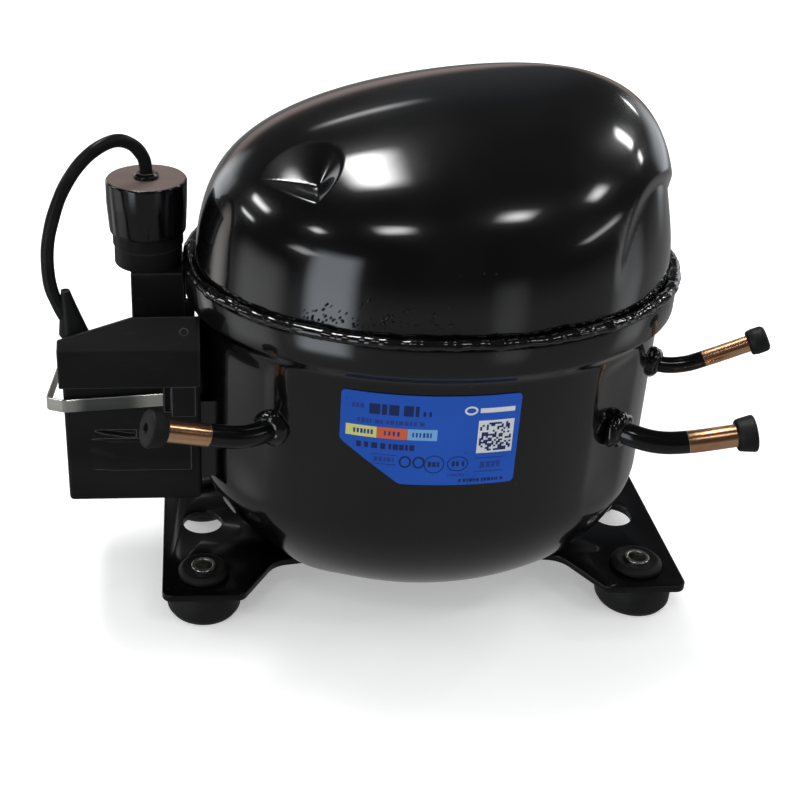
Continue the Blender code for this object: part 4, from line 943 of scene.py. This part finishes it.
def make_base_plate(side_name, side):
    """Pressed foot plate of one side: its outline runs round the holes and narrows inwards."""
    corner, waist = mm(4, 10)
    edge = [(PLATE_OUTER_X, PLATE_HALF_Y, corner), (70 * MM, PLATE_HALF_Y, corner),
            (57 * MM, 28 * MM, waist), (20 * MM, 22 * MM, 0)]
    outline = [(side * x, -y, r) for x, y, r in edge]
    outline += [(side * x, y, r) for x, y, r in edge[::-1]]
    holes = [circle(PLATE_HOLE_R, 48, (side * MOUNT_X / 2, y))
             for y in (-MOUNT_Y / 2, 0, MOUNT_Y / 2)]
    name = f"base_plate_{side_name}"
    plate = plate_mesh("plate", rounded(outline, 8), holes, PLATE_TOP - PLATE_THICK, PLATE_TOP,
                       0.4 * MM)
    mesh = combine(name + "_pressing", plate, [('DIFFERENCE', bowl_solid())])
    add_piece(mesh, "black_enamel", [name], mats=[MATS["plate_enamel"]])


def make_feet():
    """Rubber grommet through each plate hole, with the steel sleeve that it holds."""
    under, over = PLATE_TOP - PLATE_THICK - 0.1 * MM, PLATE_TOP + 0.1 * MM
    inner, top = SLEEVE_R + 0.1 * MM, PLATE_TOP + 3.4 * MM
    flange, foot = GROMMET_FLANGE_R, GROMMET_FOOT_R
    grommet = [(inner, top - 0.5 * MM, 0.2 * MM), (flange - 1.6 * MM, top, 1.6 * MM),
               (flange, top - 1.5 * MM, 0.8 * MM), (flange, over, 0.5 * MM),
               (GROMMET_NECK_R, over, 0), (GROMMET_NECK_R, under, 0),
               (foot - 0.4 * MM, under, 0.8 * MM), (foot, 12 * MM, 0.6 * MM),
               (foot - 0.1 * MM, FLOOR + 2.4 * MM, 2 * MM), (foot - 1.6 * MM, FLOOR, 0.6 * MM),
               (inner, FLOOR, 0)]
    low = FLOOR + 1 * MM
    sleeve = [(SLEEVE_R, SLEEVE_TOP, 0.35 * MM), (SLEEVE_R, low, 0), (SLEEVE_BORE_R, low, 0),
              (SLEEVE_BORE_R, SLEEVE_TOP, 0.35 * MM)]
    for index in range(1, 5):
        here = middle(f"mount_sleeve_{index}") - SHAFT
        place = Matrix.Translation((here.x, here.y, 0))
        add_piece(lathe(f"grommet_{index}_moulding", rounded(grommet, 5), 72), "black_rubber",
                  [f"grommet_{index}"], place=place)
        add_piece(lathe(f"mount_sleeve_{index}_turning", rounded(sleeve, 4), 64), "zinc_steel",
                  [f"mount_sleeve_{index}"], place=place)


# ---------------------------------------------------------------- stubs and plugs

def wall_crossing(line):
    """Index of the first centre line point outside the lower shell's wall."""
    for i, p in enumerate(line):
        if (abs(p.x) / BODY_A) ** PLAN_N + (abs(p.y) / BODY_B) ** PLAN_N > 1:
            return i
    return len(line) - 1


def make_stub(name):
    path, radius, bore = STUBS[name]
    line = bend(in_mm(path), 14)
    tip, along = line[-1], (line[-1] - line[-2]).normalized()
    outer = tube_rings(line, lambda i: radius, 40)
    lip = tube_rings([line[-2], tip], lambda i: radius - 0.12 * MM, 40)[-1:]
    deep = line[len(line) - 22:]
    inner = tube_rings(deep, lambda i: bore, 40)[::-1]
    floor = deep[0]
    mesh = new_mesh(f"{name}_stub", *skin(outer + lip + inner, start=line[0], end=floor), 45)
    mat = stub_copper(f"copper_{name}", tip, along, BARE_LENGTH[name]).mat
    add_piece(mesh, "copper", [f"{name}_tube"], mats=[mat])
    make_braze(name, line, radius)
    make_plug(name, tip, along, bore)


def make_braze(name, line, radius):
    """Lumpy braze collar where the stub leaves the wall, painted over."""
    at = wall_crossing(line)
    sunk, length, height, wander = mm(3.4, 6.4, 2.9, 0.5)
    along = (line[min(at + 1, len(line) - 1)] - line[at - 1]).normalized()
    start = line[at] - along * sunk
    rings = []
    side = along.orthogonal().normalized()
    other = along.cross(side)
    steps = 14
    for i in range(steps + 1):
        t = i / steps
        ring = []
        for a in turns(48):
            out = side * math.cos(a) + other * math.sin(a)
            lump = noise.noise(out * 1.6 + Vector((t * 2.2, at, 0)))
            swell = radius + (height * math.sin(math.pi * t) ** 0.7) * (1 + 0.35 * lump)
            ring.append(start + along * (length * t + wander * lump) + out * swell)
        rings.append(ring)
    mesh = new_mesh(f"{name}_braze", *skin(rings, start=start, end=start + along * length), 70)
    add_piece(mesh, "black_enamel")


def make_plug(name, tip, along, bore):
    """Soft rubber transport plug: a flared head with a blind hole, and a stem in the tube."""
    stem = [(0, -8 * MM, 0), (bore - 0.5 * MM, -8 * MM, 0.4 * MM)]
    if name == "discharge":
        head = [(bore - 0.3 * MM, 0.1 * MM, 0), mm(4.4, 0.1, 1),
                mm(4.8, 2.5, 1), mm(4.7, 6.8, 1.7), (0, 7 * MM, 0)]
    else:
        head = [(bore - 0.3 * MM, 0.1 * MM, 0), mm(5.6, 0.1, 0.9),
                mm(6.0, 2, 1), mm(6.8, 6.6, 1),
                mm(1.9, 7, 0.4), mm(1.5, 3.6, 0.5), (0, 3.4 * MM, 0)]
    profile = rounded(stem + head, 5, is_closed=False)[::-1]
    mesh = lathe(f"{name}_plug_rubber", profile, 56, 0.12 * MM, tip.x * 90)
    add_piece(mesh, "black_rubber", [f"{name}_plug"], f"{name}_cap", place=aligned(tip, along))


# ---------------------------------------------------------------- label

def wall_prism(spans, near, far):
    """Closed strip on the front wall: spans are (x, low, high), from left to right."""
    rings = [[(x, -wall_y(x, near), low), (x, -wall_y(x, far), low),
              (x, -wall_y(x, far), high), (x, -wall_y(x, near), high)] for x, low, high in spans]
    return skin(rings, caps=True)


def label_spans():
    """The label's lower and upper edge along X, with round corners and one corner cut off."""
    width = LABEL_RIGHT - LABEL_LEFT
    corner, cut_wide, cut_high = mm(1.6, 20.5, 15.5)
    spans = []
    steps = 72
    for i in range(steps + 1):
        s = 0.5 - 0.5 * math.cos(math.pi * i / steps)
        x = LABEL_LEFT + width * s
        near_end = min(x - LABEL_LEFT, LABEL_RIGHT - x)
        round_off = corner - math.sqrt(max(0.0, corner ** 2 - max(0.0, corner - near_end) ** 2))
        low = LABEL_LOW + (round_off if x > 0 else 0.0)
        cut = cut_high * (1 - (x - LABEL_LEFT) / cut_wide)
        if cut > 0:
            low = LABEL_LOW + cut + 0.6 * round_off
        spans.append((x, low, LABEL_HIGH - round_off))
    return spans


class Print:
    """Thin closed patches of ink on the label, gathered in one mesh by material."""

    def __init__(self):
        self.points, self.faces, self.inks = [], [], []

    def add(self, made, ink):
        points, faces = made
        base = len(self.points)
        self.points += points
        self.faces += [tuple(base + i for i in face) for face in faces]
        self.inks += [ink] * len(faces)

    def bar(self, u0, v0, u1, v1, ink, layer=0):
        """Rectangle in millimetres from the label's lower left corner."""
        count = max(1, math.ceil((u1 - u0) / 2.5))
        xs = [LABEL_LEFT + (u0 + (u1 - u0) * i / count) * MM for i in range(count + 1)]
        spans = [(x, LABEL_LOW + v0 * MM, LABEL_LOW + v1 * MM) for x in xs]
        near = LABEL_FAR + (0.01 + 0.035 * layer) * MM
        self.add(wall_prism(spans, near, near + 0.03 * MM), ink)

    def ring(self, u, v, wide, high, width, ink):
        """Elliptical ring of the given half sizes and line width."""
        near = LABEL_FAR + 0.01 * MM
        rings = []
        for a in turns(40):
            c, s = math.cos(a), math.sin(a)
            section = []
            for cut, depth in ((0, 0), (0, 1), (width, 1), (width, 0)):
                x = LABEL_LEFT + (u + (wide - cut) * c) * MM
                z = LABEL_LOW + (v + (high - cut) * s) * MM
                section.append((x, -wall_y(x, near + depth * 0.03 * MM), z))
            rings.append(section)
        self.add(skin(rings, loop=True), ink)

    def words(self, u0, v0, u1, v1, ink, seed, gap=0.5):
        """Row of short blocks of uneven width that stand for printed text."""
        dice = random.Random(seed)
        u = u0
        while u < u1 - 0.6:
            wide = min(dice.uniform(0.9, 2.2) * (v1 - v0) / 2.4, u1 - u)
            self.bar(u, v0, u + wide, v1, ink)
            u += wide + gap * dice.choice((0.8, 1, 2.2))


def make_label():
    mesh = new_mesh("label_film", *wall_prism(label_spans(), LABEL_NEAR, LABEL_FAR), 30)
    add_piece(mesh, "label_blue", ["rating_label"])
    ink, faint, white, yellow, orange, sky = range(len(INKS))
    out = Print()
    out.words(3.7, 28.8, 7.6, 30.6, faint, 1)
    out.words(9.3, 27, 25.8, 31, ink, 2, 0.7)
    out.words(27.2, 27.2, 31, 29, ink, 3)
    out.words(5.6, 23.4, 28, 25, faint, 4)
    for left, right, colour in ((1.9, 12.1, yellow), (12.2, 22.3, orange), (22.4, 32.4, sky)):
        out.bar(left, 17.8, right, 22.1, colour)
    dice = random.Random(11)
    marks = [4.4 + 1.15 * k for k in range(6)] + [14.6, 16, 17.5, 19]
    for u in marks + [24 + 1.2 * k for k in range(6)]:
        out.bar(u, 19, u + dice.uniform(0.5, 0.85), 20.8, faint, 1)
    out.words(5.6, 13.6, 25, 15.8, ink, 5)
    out.bar(10.6, 7.4, 19.2, 7.75, faint)
    out.bar(10.6, 11.2, 19.2, 11.55, faint)
    out.words(11.6, 8.6, 18.4, 10.3, faint, 6)
    out.ring(22.2, 9, 2.1, 2.4, 0.65, ink)
    out.ring(26.8, 9, 2.1, 2.4, 0.65, ink)
    out.ring(32.1, 8.4, 3.5, 3.6, 0.35, ink)
    out.words(30, 7.4, 34.2, 9.4, ink, 7)
    out.ring(40.2, 8.6, 3.7, 3.0, 0.35, ink)
    out.words(38.2, 7.6, 42.6, 9.6, ink, 8)
    out.words(37, 3.6, 43.6, 4.5, faint, 9)
    for v in (5, 10.4):
        out.bar(46, v, 56.5, v + 0.35, faint)
    out.words(48, 6.6, 55, 9, faint, 10)
    out.words(41, 1.2, 56.6, 2.4, ink, 12, 0.4)
    out.bar(46.2, 12.6, 58.6, 25.4, white)
    cells, size, left, low = 15, 0.74, 46.85, 13.4
    for row in range(cells):
        for column in range(cells):
            if dice.random() < 0.47:
                u, v = left + column * size, low + row * size
                out.bar(u, v, u + size * 0.96, v + size * 0.96, ink, 1)
    out.bar(46.4, 28.4, 58.4, 30.2, white)
    out.ring(43.3, 29.4, 2.3, 1.7, 0.7, white)
    mesh = bpy.data.meshes.new("label_print")
    mesh.from_pydata(out.points, [], out.faces)
    cleaned(mesh)
    mesh.polygons.foreach_set("material_index", out.inks)
    add_piece(mesh, "label_blue", mats=[MATS[name] for name in INKS])


# ---------------------------------------------------------------- terminal box

def cover_shape(name, inset, low, bevel, segments=3):
    """The cover's body from a height up to its hipped roof, all round smaller by the inset."""
    half, out_x = COVER_HALF_Y - inset, COVER_OUT_X + inset
    near_x = COVER_SKIRT_X if inset < 2 * MM else COVER_SKIRT_X + 6 * MM
    lid_drop = inset * 1.15
    points = []
    for x, ridge_y, ridge_z, back in ((out_x, RIDGE_OUT_Y, RIDGE_OUT_Z, BACK_EAVE_OUT),
                                      (COVER_PEAK_X, RIDGE_Y, COVER_PEAK, BACK_EAVE),
                                      (near_x, RIDGE_Y, COVER_PEAK, BACK_EAVE)):
        points += [(x, -half, COVER_EAVE - inset * 0.4), (x, ridge_y, ridge_z - lid_drop)]
        clear_x = min(x, COVER_SKIRT_X - 1.4 * MM) if inset < 2 * MM else x
        fall = (ridge_z - back) / (COVER_HALF_Y - ridge_y)
        back_y = half
        if back + inset * fall - lid_drop < low:
            back_y = ridge_y + (ridge_z - lid_drop - low) / fall
        points.append((clear_x, back_y, max(low, back + inset * fall - lid_drop)))
        points += [(x, -half, low), (clear_x, back_y, low)]
    return hull_mesh(name, points, bevel, segments)


def make_cover():
    """Moulded cover: hood with a hipped roof, lower box, neck, cable entry, front pockets."""
    inset = 1.2 * MM
    body = cover_shape("cover_body", inset, COVER_LOW, 1.8 * MM, 4)
    hood = cover_shape("hood", 0, 101 * MM, 0.6 * MM)
    hollow = cover_shape("hollow", 3.4 * MM, COVER_LOW + 2.4 * MM, 0)
    fall = (COVER_PEAK - BACK_EAVE) / (COVER_HALF_Y - RIDGE_Y)
    front, back = mm(-3, 18)
    foot = [COVER_PEAK - fall * (y - RIDGE_Y) - 1.2 * MM for y in (front, back)]
    neck = hull_mesh("neck", [(x, y, z) for x in mm(-110.5, -91) for y, z in (
        (front, foot[0]), (back, foot[1]), (back, CAP_LOW + 0.3 * MM),
        (front, CAP_LOW + 0.3 * MM))], 0.6 * MM)
    web = box_mesh("web", (-94 * MM, front + 0.4 * MM, foot[0]),
                   (-87 * MM, front + 3 * MM, 122 * MM), 0.4 * MM)
    rib = box_mesh("rib", mm(-93, 6, 112), mm(-90.2, 9, 133), 0.3 * MM)
    steps = [('UNION', hood), ('UNION', neck), ('UNION', web), ('UNION', rib)]
    steps += front_relief(inset - COVER_HALF_Y)
    steps += [('UNION', fin_mesh()), ('DIFFERENCE', hollow)]
    mesh = combine("cover_moulding", body, steps, 32)
    cover = add_piece(mesh, "black_moulding", ["terminal_cover"], "cover")
    even = cover.modifiers.new("even_shading", 'WEIGHTED_NORMAL')
    even.keep_sharp = True


def front_relief(face):
    """Panel, finger recess, pocket and ejector mark on the cover's front and facet."""
    def at(depth, *places):
        """Points at x and z places in millimetres, a depth behind the face."""
        return [(x * MM, face + depth * MM, z * MM) for x, z in places]

    panel = hull_mesh("panel", at(0.5, (-126, 66), (-126, 79.5))
                      + at(-0.02, (-126, 66), (-126, 79.5))
                      + at(-1.1, (-117.5, 66), (-117.5, 78.5), (-89, 66), (-89, 78.5))
                      + at(0.5, (-89, 66), (-89, 79.5)), 0.25 * MM, 2)
    recess = hull_mesh("recess", at(-2, (-125.5, 83.4), (-125.5, 82.4), (-117, 79.2), (-108, 79.4),
                                    (-108, 83.6))
                       + at(1.4, (-123.5, 82.8)) + at(1.7, (-110, 80.5), (-110, 82.6)))
    slot = box_mesh("slot", *at(-3, (-98.6, 90.5)), *at(1.8, (-96.2, 101)))
    pad = box_mesh("pad", *at(-0.8, (-95.8, 88.6)), *at(1, (-87.2, 102)), 0.3 * MM, 2)
    lean = Vector((0, COVER_EAVE - COVER_PEAK, COVER_HALF_Y + RIDGE_Y)).normalized()
    spot = Vector((-91 * MM, -25.4 * MM, COVER_EAVE + 6.6 * MM * 2 / 3))
    mark = lathe("mark", [mm(0, 1), mm(1.5, 1), mm(1.5, -0.25), mm(0, -0.25)], 24)
    mark.transform(aligned(spot, lean))
    return [('UNION', panel), ('DIFFERENCE', recess), ('DIFFERENCE', slot), ('UNION', pad),
            ('DIFFERENCE', mark)]


def fin_mesh():
    """Leaning cone at the roof's outer end, which holds the cable where it enters.

    Laid out in millimetres, ring by ring from its foot at 0 to its top at 1.
    """
    rings = []
    for t in (0, 0.2, 0.4, 0.6, 0.8, 0.93, 1):
        left, right = -136.4 + 1.6 * t, -120.8 - 10.8 * t ** 0.8
        middle_x, half = (left + right) / 2, (right - left) / 2
        y, z = -19.5 + 1.5 * t, 112 + 22 * t
        deep = 0.55 * half + 0.6
        rings.append([Vector((middle_x + half * math.cos(a), y + deep * math.sin(a),
                              z + (1.5 - 4 * math.cos(a)) * (1 - t))) * MM for a in turns(32)])
    return new_mesh("fin", *skin(rings, caps=True), 60)


def make_capacitor():
    """Run capacitor on the cover's neck, with the rubber boot over its top and the lead."""
    place = Matrix.Translation((CAP_X, CAP_Y, 0))
    can = [(0, CAP_HIGH, 0), (CAP_R, CAP_HIGH, 1 * MM), (CAP_R, CAP_LOW + 8 * MM, 0.5 * MM),
           (CAP_R - 0.5 * MM, CAP_LOW + 7.4 * MM, 0.3 * MM), (CAP_R - 0.4 * MM, CAP_LOW, 0.8 * MM),
           (0, CAP_LOW, 0)]
    add_piece(lathe("capacitor_body", rounded(can, 4, False), 72), "black_moulding",
              ["capacitor_can"], "cover", place=place)
    inside, roof, hole = CAP_R + 0.15 * MM, CAP_HIGH + 0.2 * MM, CABLE_R + 0.05 * MM
    top = BOOT_HIGH
    section = [(hole, top + 1.8 * MM, 0), (3.4 * MM, top + 2.3 * MM, 0.6 * MM),
               (4.6 * MM, top + 1.2 * MM, 0.5 * MM), (4.7 * MM, top, 0.15 * MM),
               (BOOT_R, top, 1.1 * MM), (BOOT_R - 0.1 * MM, 157 * MM, 4 * MM),
               (BOOT_R - 0.75 * MM, BOOT_LOW + 1 * MM, 3 * MM),
               (BOOT_R - 0.9 * MM, BOOT_LOW, 0.3 * MM), (inside, BOOT_LOW, 0.1 * MM),
               (inside, roof, 0.3 * MM), (hole, roof, 0)]
    mesh = lathe("capacitor_boot_sleeve", rounded(section, 6), 96, 0.22 * MM, 3.0)
    add_piece(mesh, "glossy_boot", ["capacitor_boot"], "cover", place=place)
    line = bend(in_mm(LEAD), 9)
    radius = [CABLE_R + 0.16 * MM * noise.noise(Vector((i * 0.16, 0, 0))) for i in range(len(line))]
    rings = tube_rings(line, lambda i: radius[i], 24)
    mesh = new_mesh("capacitor_lead", *skin(rings, caps=True), 50)
    add_piece(mesh, "black_moulding", ["capacitor_cable"], "cover")


def make_strap():
    """Flat spring strap that hooks round the cover's front, outer end and back."""
    y, bulge = COVER_HALF_Y + 0.25 * MM, COVER_OUT_X + 2 * MM
    out_x, end_x, corner, back = mm(-141, -99, 3, 5)
    section = [mm(*point) for point in ((0, 0.15), (0.15, 0), (0.6, 0), (0.8, 0.2), (0.8, 5),
                                        (0.6, 5.2), (0.15, 5.2), (0, 5.05))]
    corners = [(end_x, -y, 0), (bulge, -y, corner), (out_x, back - y, corner),
               (out_x, y - back, corner), (bulge, y, corner), (end_x, y, 0)]
    line = rounded(corners, 10, is_closed=False)
    rings = []
    for i, here in enumerate(line):
        ahead = (line[min(i + 1, len(line) - 1)] - line[max(i - 1, 0)]).normalized()
        out = Vector((ahead.y, -ahead.x))
        if out.dot(here - Vector((-110 * MM, 0))) < 0:
            out = -out
        rise = 2.2 * MM * (here.x - bulge) / (end_x - bulge)
        low = STRAP_LOW + rise - STRAP_LEAN * (here.y + COVER_HALF_Y)
        rings.append([(here.x + out.x * d, here.y + out.y * d, low + z) for d, z in section])
    mesh = new_mesh("strap_spring", *skin(rings, caps=True), 35)
    add_piece(mesh, "zinc_steel", ["cover_strap"], "strap", [MATS["strap_zinc"]])


# ---------------------------------------------------------------- pieces kept from the CAD

def dress_cad_nodes():
    """Give every CAD node that is still shown its material, and round the sharp edges of those
    listed in soft.
    """
    slots = {row["node"]: row["material_slot"] for row in frame["record"]["subparts"]}
    painted = {"terminal_fence": "black_enamel", "terminal_header": "welded_steel"}
    soft = {"ptc_starter": 1.0, "crankcase_block": 0.8, "suction_muffler": 0.8,
            "terminal_fence": 0.25, "valve_plate": 0.3, "crankshaft": 0.3, "piston": 0.4,
            "stator_core": 0.3}
    for name, obj in frame["nodes"].items():
        if obj.hide_render:
            continue
        mat = MATS[painted.get(name, slots[name])]
        obj.data.materials.clear()
        obj.data.materials.append(mat)
        if name in soft:
            mod = obj.modifiers.new("soft_edges", 'BEVEL')
            mod.width = soft[name] * MM
            mod.segments = 3
            mod.limit_method = 'ANGLE'
            mod.angle_limit = math.radians(40)


# ---------------------------------------------------------------- stage

FLOOR_SIZE, FLOOR_COLOUR, FLOOR_GLOW = 6, (0.88, 0.88, 0.88), 0.3


def emptied(owner):
    """Empty node graph of a material or world."""
    owner.use_nodes = True
    owner.node_tree.nodes.clear()
    return Graph(owner.node_tree)


def make_floor():
    """Pale floor, left out of the mirrored view, where the studio's dark ground stands for it."""
    bm = bmesh.new()
    bmesh.ops.create_grid(bm, x_segments=1, y_segments=1, size=FLOOR_SIZE)
    mesh = from_bmesh("floor", bm)
    floor = shown("floor", mesh)
    floor.location = (SHAFT.x, SHAFT.y, 0)
    mat = bpy.data.materials.new("pale_floor")
    graph = emptied(mat)
    path = graph.node("LightPath").outputs
    pale = graph.wired("BsdfDiffuse", FLOOR_COLOUR)[0]
    shine = graph.times(path["Is Camera Ray"], FLOOR_GLOW)
    lit = graph.wired("AddShader", pale, graph.wired("Emission", Strength=shine)[0])[0]
    clear = graph.wired("BsdfTransparent")[0]
    seen = graph.wired("MixShader", path["Is Glossy Ray"], lit, clear)[0]
    graph.wired("OutputMaterial", seen)
    mesh.materials.append(mat)


# ceiling lights, by where they lie on a ceiling one unit above the object:
# middle x and y, half sizes, softness of the edge, brightness
CEILING = (
    (-0.17, 0.42, 0.07, 0.24, 0.09, 32), (-1.45, 0.5, 0.09, 0.26, 0.1, 17),
    (-2.5, 0.75, 0.14, 0.3, 0.14, 12), (1.15, 0.77, 0.16, 0.06, 0.06, 28),
    (1.7, 0.79, 0.14, 0.05, 0.06, 16), (1.6, 1.95, 0.13, 0.1, 0.1, 12),
    (-0.1, 1.68, 0.16, 0.06, 0.1, 3), (-1.02, -0.54, 0.07, 0.08, 0.07, 13),
    (-0.26, -0.66, 0.11, 0.07, 0.08, 13), (0.5, -0.45, 0.09, 0.07, 0.08, 15),
    (1.13, -0.05, 0.09, 0.1, 0.08, 12), (2.6, -0.9, 0.2, 0.5, 0.2, 5),
    (-2.4, -1.4, 0.3, 0.3, 0.2, 5),
)
# upright windows and walls: bearing from -Y towards +X and half width in degrees, lowest and
# highest sine of elevation, softness, brightness and colour
UPRIGHT = (
    (-42, 11, -0.3, 0.4, 0.07, 3.0, (0.86, 0.92, 1.0)),
    (-82, 15, -0.45, 0.08, 0.12, 0.8, (0.97, 0.98, 1.0)),
    (-118, 6, -0.5, 0.2, 0.1, 1.2, (1.0, 0.95, 0.9)),
    (28, 5, -0.3, 0.1, 0.1, 0.5, (0.95, 0.97, 1.0)),
    (88, 8, -0.4, 0.22, 0.1, 0.7, (0.95, 0.97, 1.0)),
    (178, 34, 0.04, 0.2, 0.06, 0.42, (1.0, 0.8, 0.76)),
    (168, 10, 0.26, 0.6, 0.12, 0.05, (0.62, 0.8, 1.0)),
    (132, 12, -0.1, 0.3, 0.1, 1.2, (0.9, 0.95, 1.0)),
    (-146, 10, -0.1, 0.3, 0.1, 1.5, (0.9, 0.95, 1.0)),
)
ROOM_GLOW, GROUND_GLOW, SOFT_FILL = 0.045, 0.24, 0.7


def studio_light(graph):
    """Brightness and colour of the studio in the direction looked at."""
    x, y, z = graph.split(graph.node("TexCoord").outputs["Generated"])
    above = graph.ramp(z, 0.0, 0.05)
    up = graph.math('MAXIMUM', z, 0.05)
    ceiling = (graph.math('DIVIDE', x, up), graph.math('DIVIDE', y, up))
    total = graph.ramp(z, -0.15, 0.1, GROUND_GLOW, ROOM_GLOW)
    for cx, cy, wide, deep, soft, bright in CEILING:
        part = above
        for place, middle_at, half in ((ceiling[0], cx, wide), (ceiling[1], cy, deep)):
            off = graph.math('ABSOLUTE', graph.math('SUBTRACT', place, middle_at))
            part = graph.times(part,
                              graph.ramp(off, half + soft, half - soft, smooth=True))
        total = graph.math('ADD', total, graph.times(part, bright))
    light = scaled_colour(graph, (1, 1, 1), total)
    bearing = graph.math('ARCTAN2', x, graph.times(y, -1.0))
    for degrees, half, low, high, soft, bright, tint in UPRIGHT:
        turn = graph.math('SUBTRACT', bearing, math.radians(degrees))
        near = graph.math('COSINE', turn)
        edge, blur = math.cos(math.radians(half)), math.sin(math.radians(half)) * soft
        part = graph.ramp(near, edge - blur, edge + blur, smooth=True)
        part = graph.times(part, graph.ramp(z, low - soft, low + soft, smooth=True))
        part = graph.times(part, graph.ramp(z, high + soft, high - soft, smooth=True))
        beam = scaled_colour(graph, tint, graph.times(part, bright))
        light = graph.wired("VectorMath", light, beam)[0]
    return light


def scaled_colour(graph, colour, factor):
    return graph.wired("VectorMath", colour, operation='SCALE', Scale=factor)[0]


def make_world():
    """Plain white to the eye, an even fill to matt surfaces, and a studio to mirror."""
    world = bpy.data.worlds.new("studio")
    bpy.context.scene.world = world
    graph = emptied(world)
    path = graph.node("LightPath").outputs
    even = graph.math('MAXIMUM', path["Is Camera Ray"],
                      graph.times(path["Is Diffuse Ray"], SOFT_FILL))
    plain = graph.math('MAXIMUM', path["Is Camera Ray"], path["Is Diffuse Ray"])
    white = scaled_colour(graph, (1, 1, 1), even)
    sky = graph.mix(plain, studio_light(graph), white)
    graph.wired("OutputWorld", graph.wired("Background", sky)[0])


# the camera's angles in degrees, its place from the shaft's axis, its lens and its framing
CAMERA_PITCH, CAMERA_YAW, CAMERA_ROLL = 29.065, 2.409, 0.3586
CAMERA_PLACE = mm(-86.606, -461.453, 337.819)
CAMERA_LENS, CAMERA_SENSOR, CAMERA_SHIFT = 60.92, 36, (0.1916, -0.0098)


def make_camera():
    """Camera that looks down at the object from the front and left, with a little roll."""
    pitch, yaw, roll = map(math.radians, (CAMERA_PITCH, CAMERA_YAW, CAMERA_ROLL))
    ahead = Vector((math.sin(yaw) * math.cos(pitch), math.cos(yaw) * math.cos(pitch),
                    -math.sin(pitch)))
    right = Vector((math.cos(yaw), -math.sin(yaw), 0))
    above = right.cross(ahead)
    x_axis = right * math.cos(roll) + above * math.sin(roll)
    y_axis = -right * math.sin(roll) + above * math.cos(roll)
    place = SHAFT + Vector(CAMERA_PLACE)
    data = bpy.data.cameras.new("camera")
    data.sensor_width, data.lens = CAMERA_SENSOR, CAMERA_LENS
    data.clip_start = 10 * MM
    camera = shown("camera", data)
    rows = [(x_axis[i], y_axis[i], -ahead[i], place[i]) for i in range(3)] + [(0, 0, 0, 1)]
    camera.matrix_world = Matrix(rows)
    bpy.context.scene.camera = camera
    home = shown("camera_home", None)
    home.location = place
    for socket, amount in zip(("shift_x", "shift_y"), CAMERA_SHIFT):
        shift_lens(camera, home, socket, amount)


def shift_lens(camera, home, socket, amount):
    """Lens shift that frames the view from home, and fades out once the camera leaves it."""
    curve = camera.data.driver_add(socket)
    while curve.modifiers:
        curve.modifiers.remove(curve.modifiers[0])
    curve.keyframe_points.add(2)
    for key, at in zip(curve.keyframe_points, ((0, amount), (0.01, 0))):
        key.co = at
        key.interpolation = 'LINEAR'
    curve.driver.type = 'SUM'
    away = curve.driver.variables.new()
    away.type = 'LOC_DIFF'
    away.targets[0].id, away.targets[1].id = camera, home


def build():
    make_lower_shell()
    make_upper_shell()
    make_weld_bead()
    make_weld_spatter()
    make_base_plate("left", -1)
    make_base_plate("right", 1)
    make_feet()
    for name in STUBS:
        make_stub(name)
    make_label()
    make_cover()
    make_capacitor()
    make_strap()
    dress_cad_nodes()
    make_floor()
    make_world()
    make_camera()
    bpy.context.scene.view_settings.view_transform = 'Standard'


build()
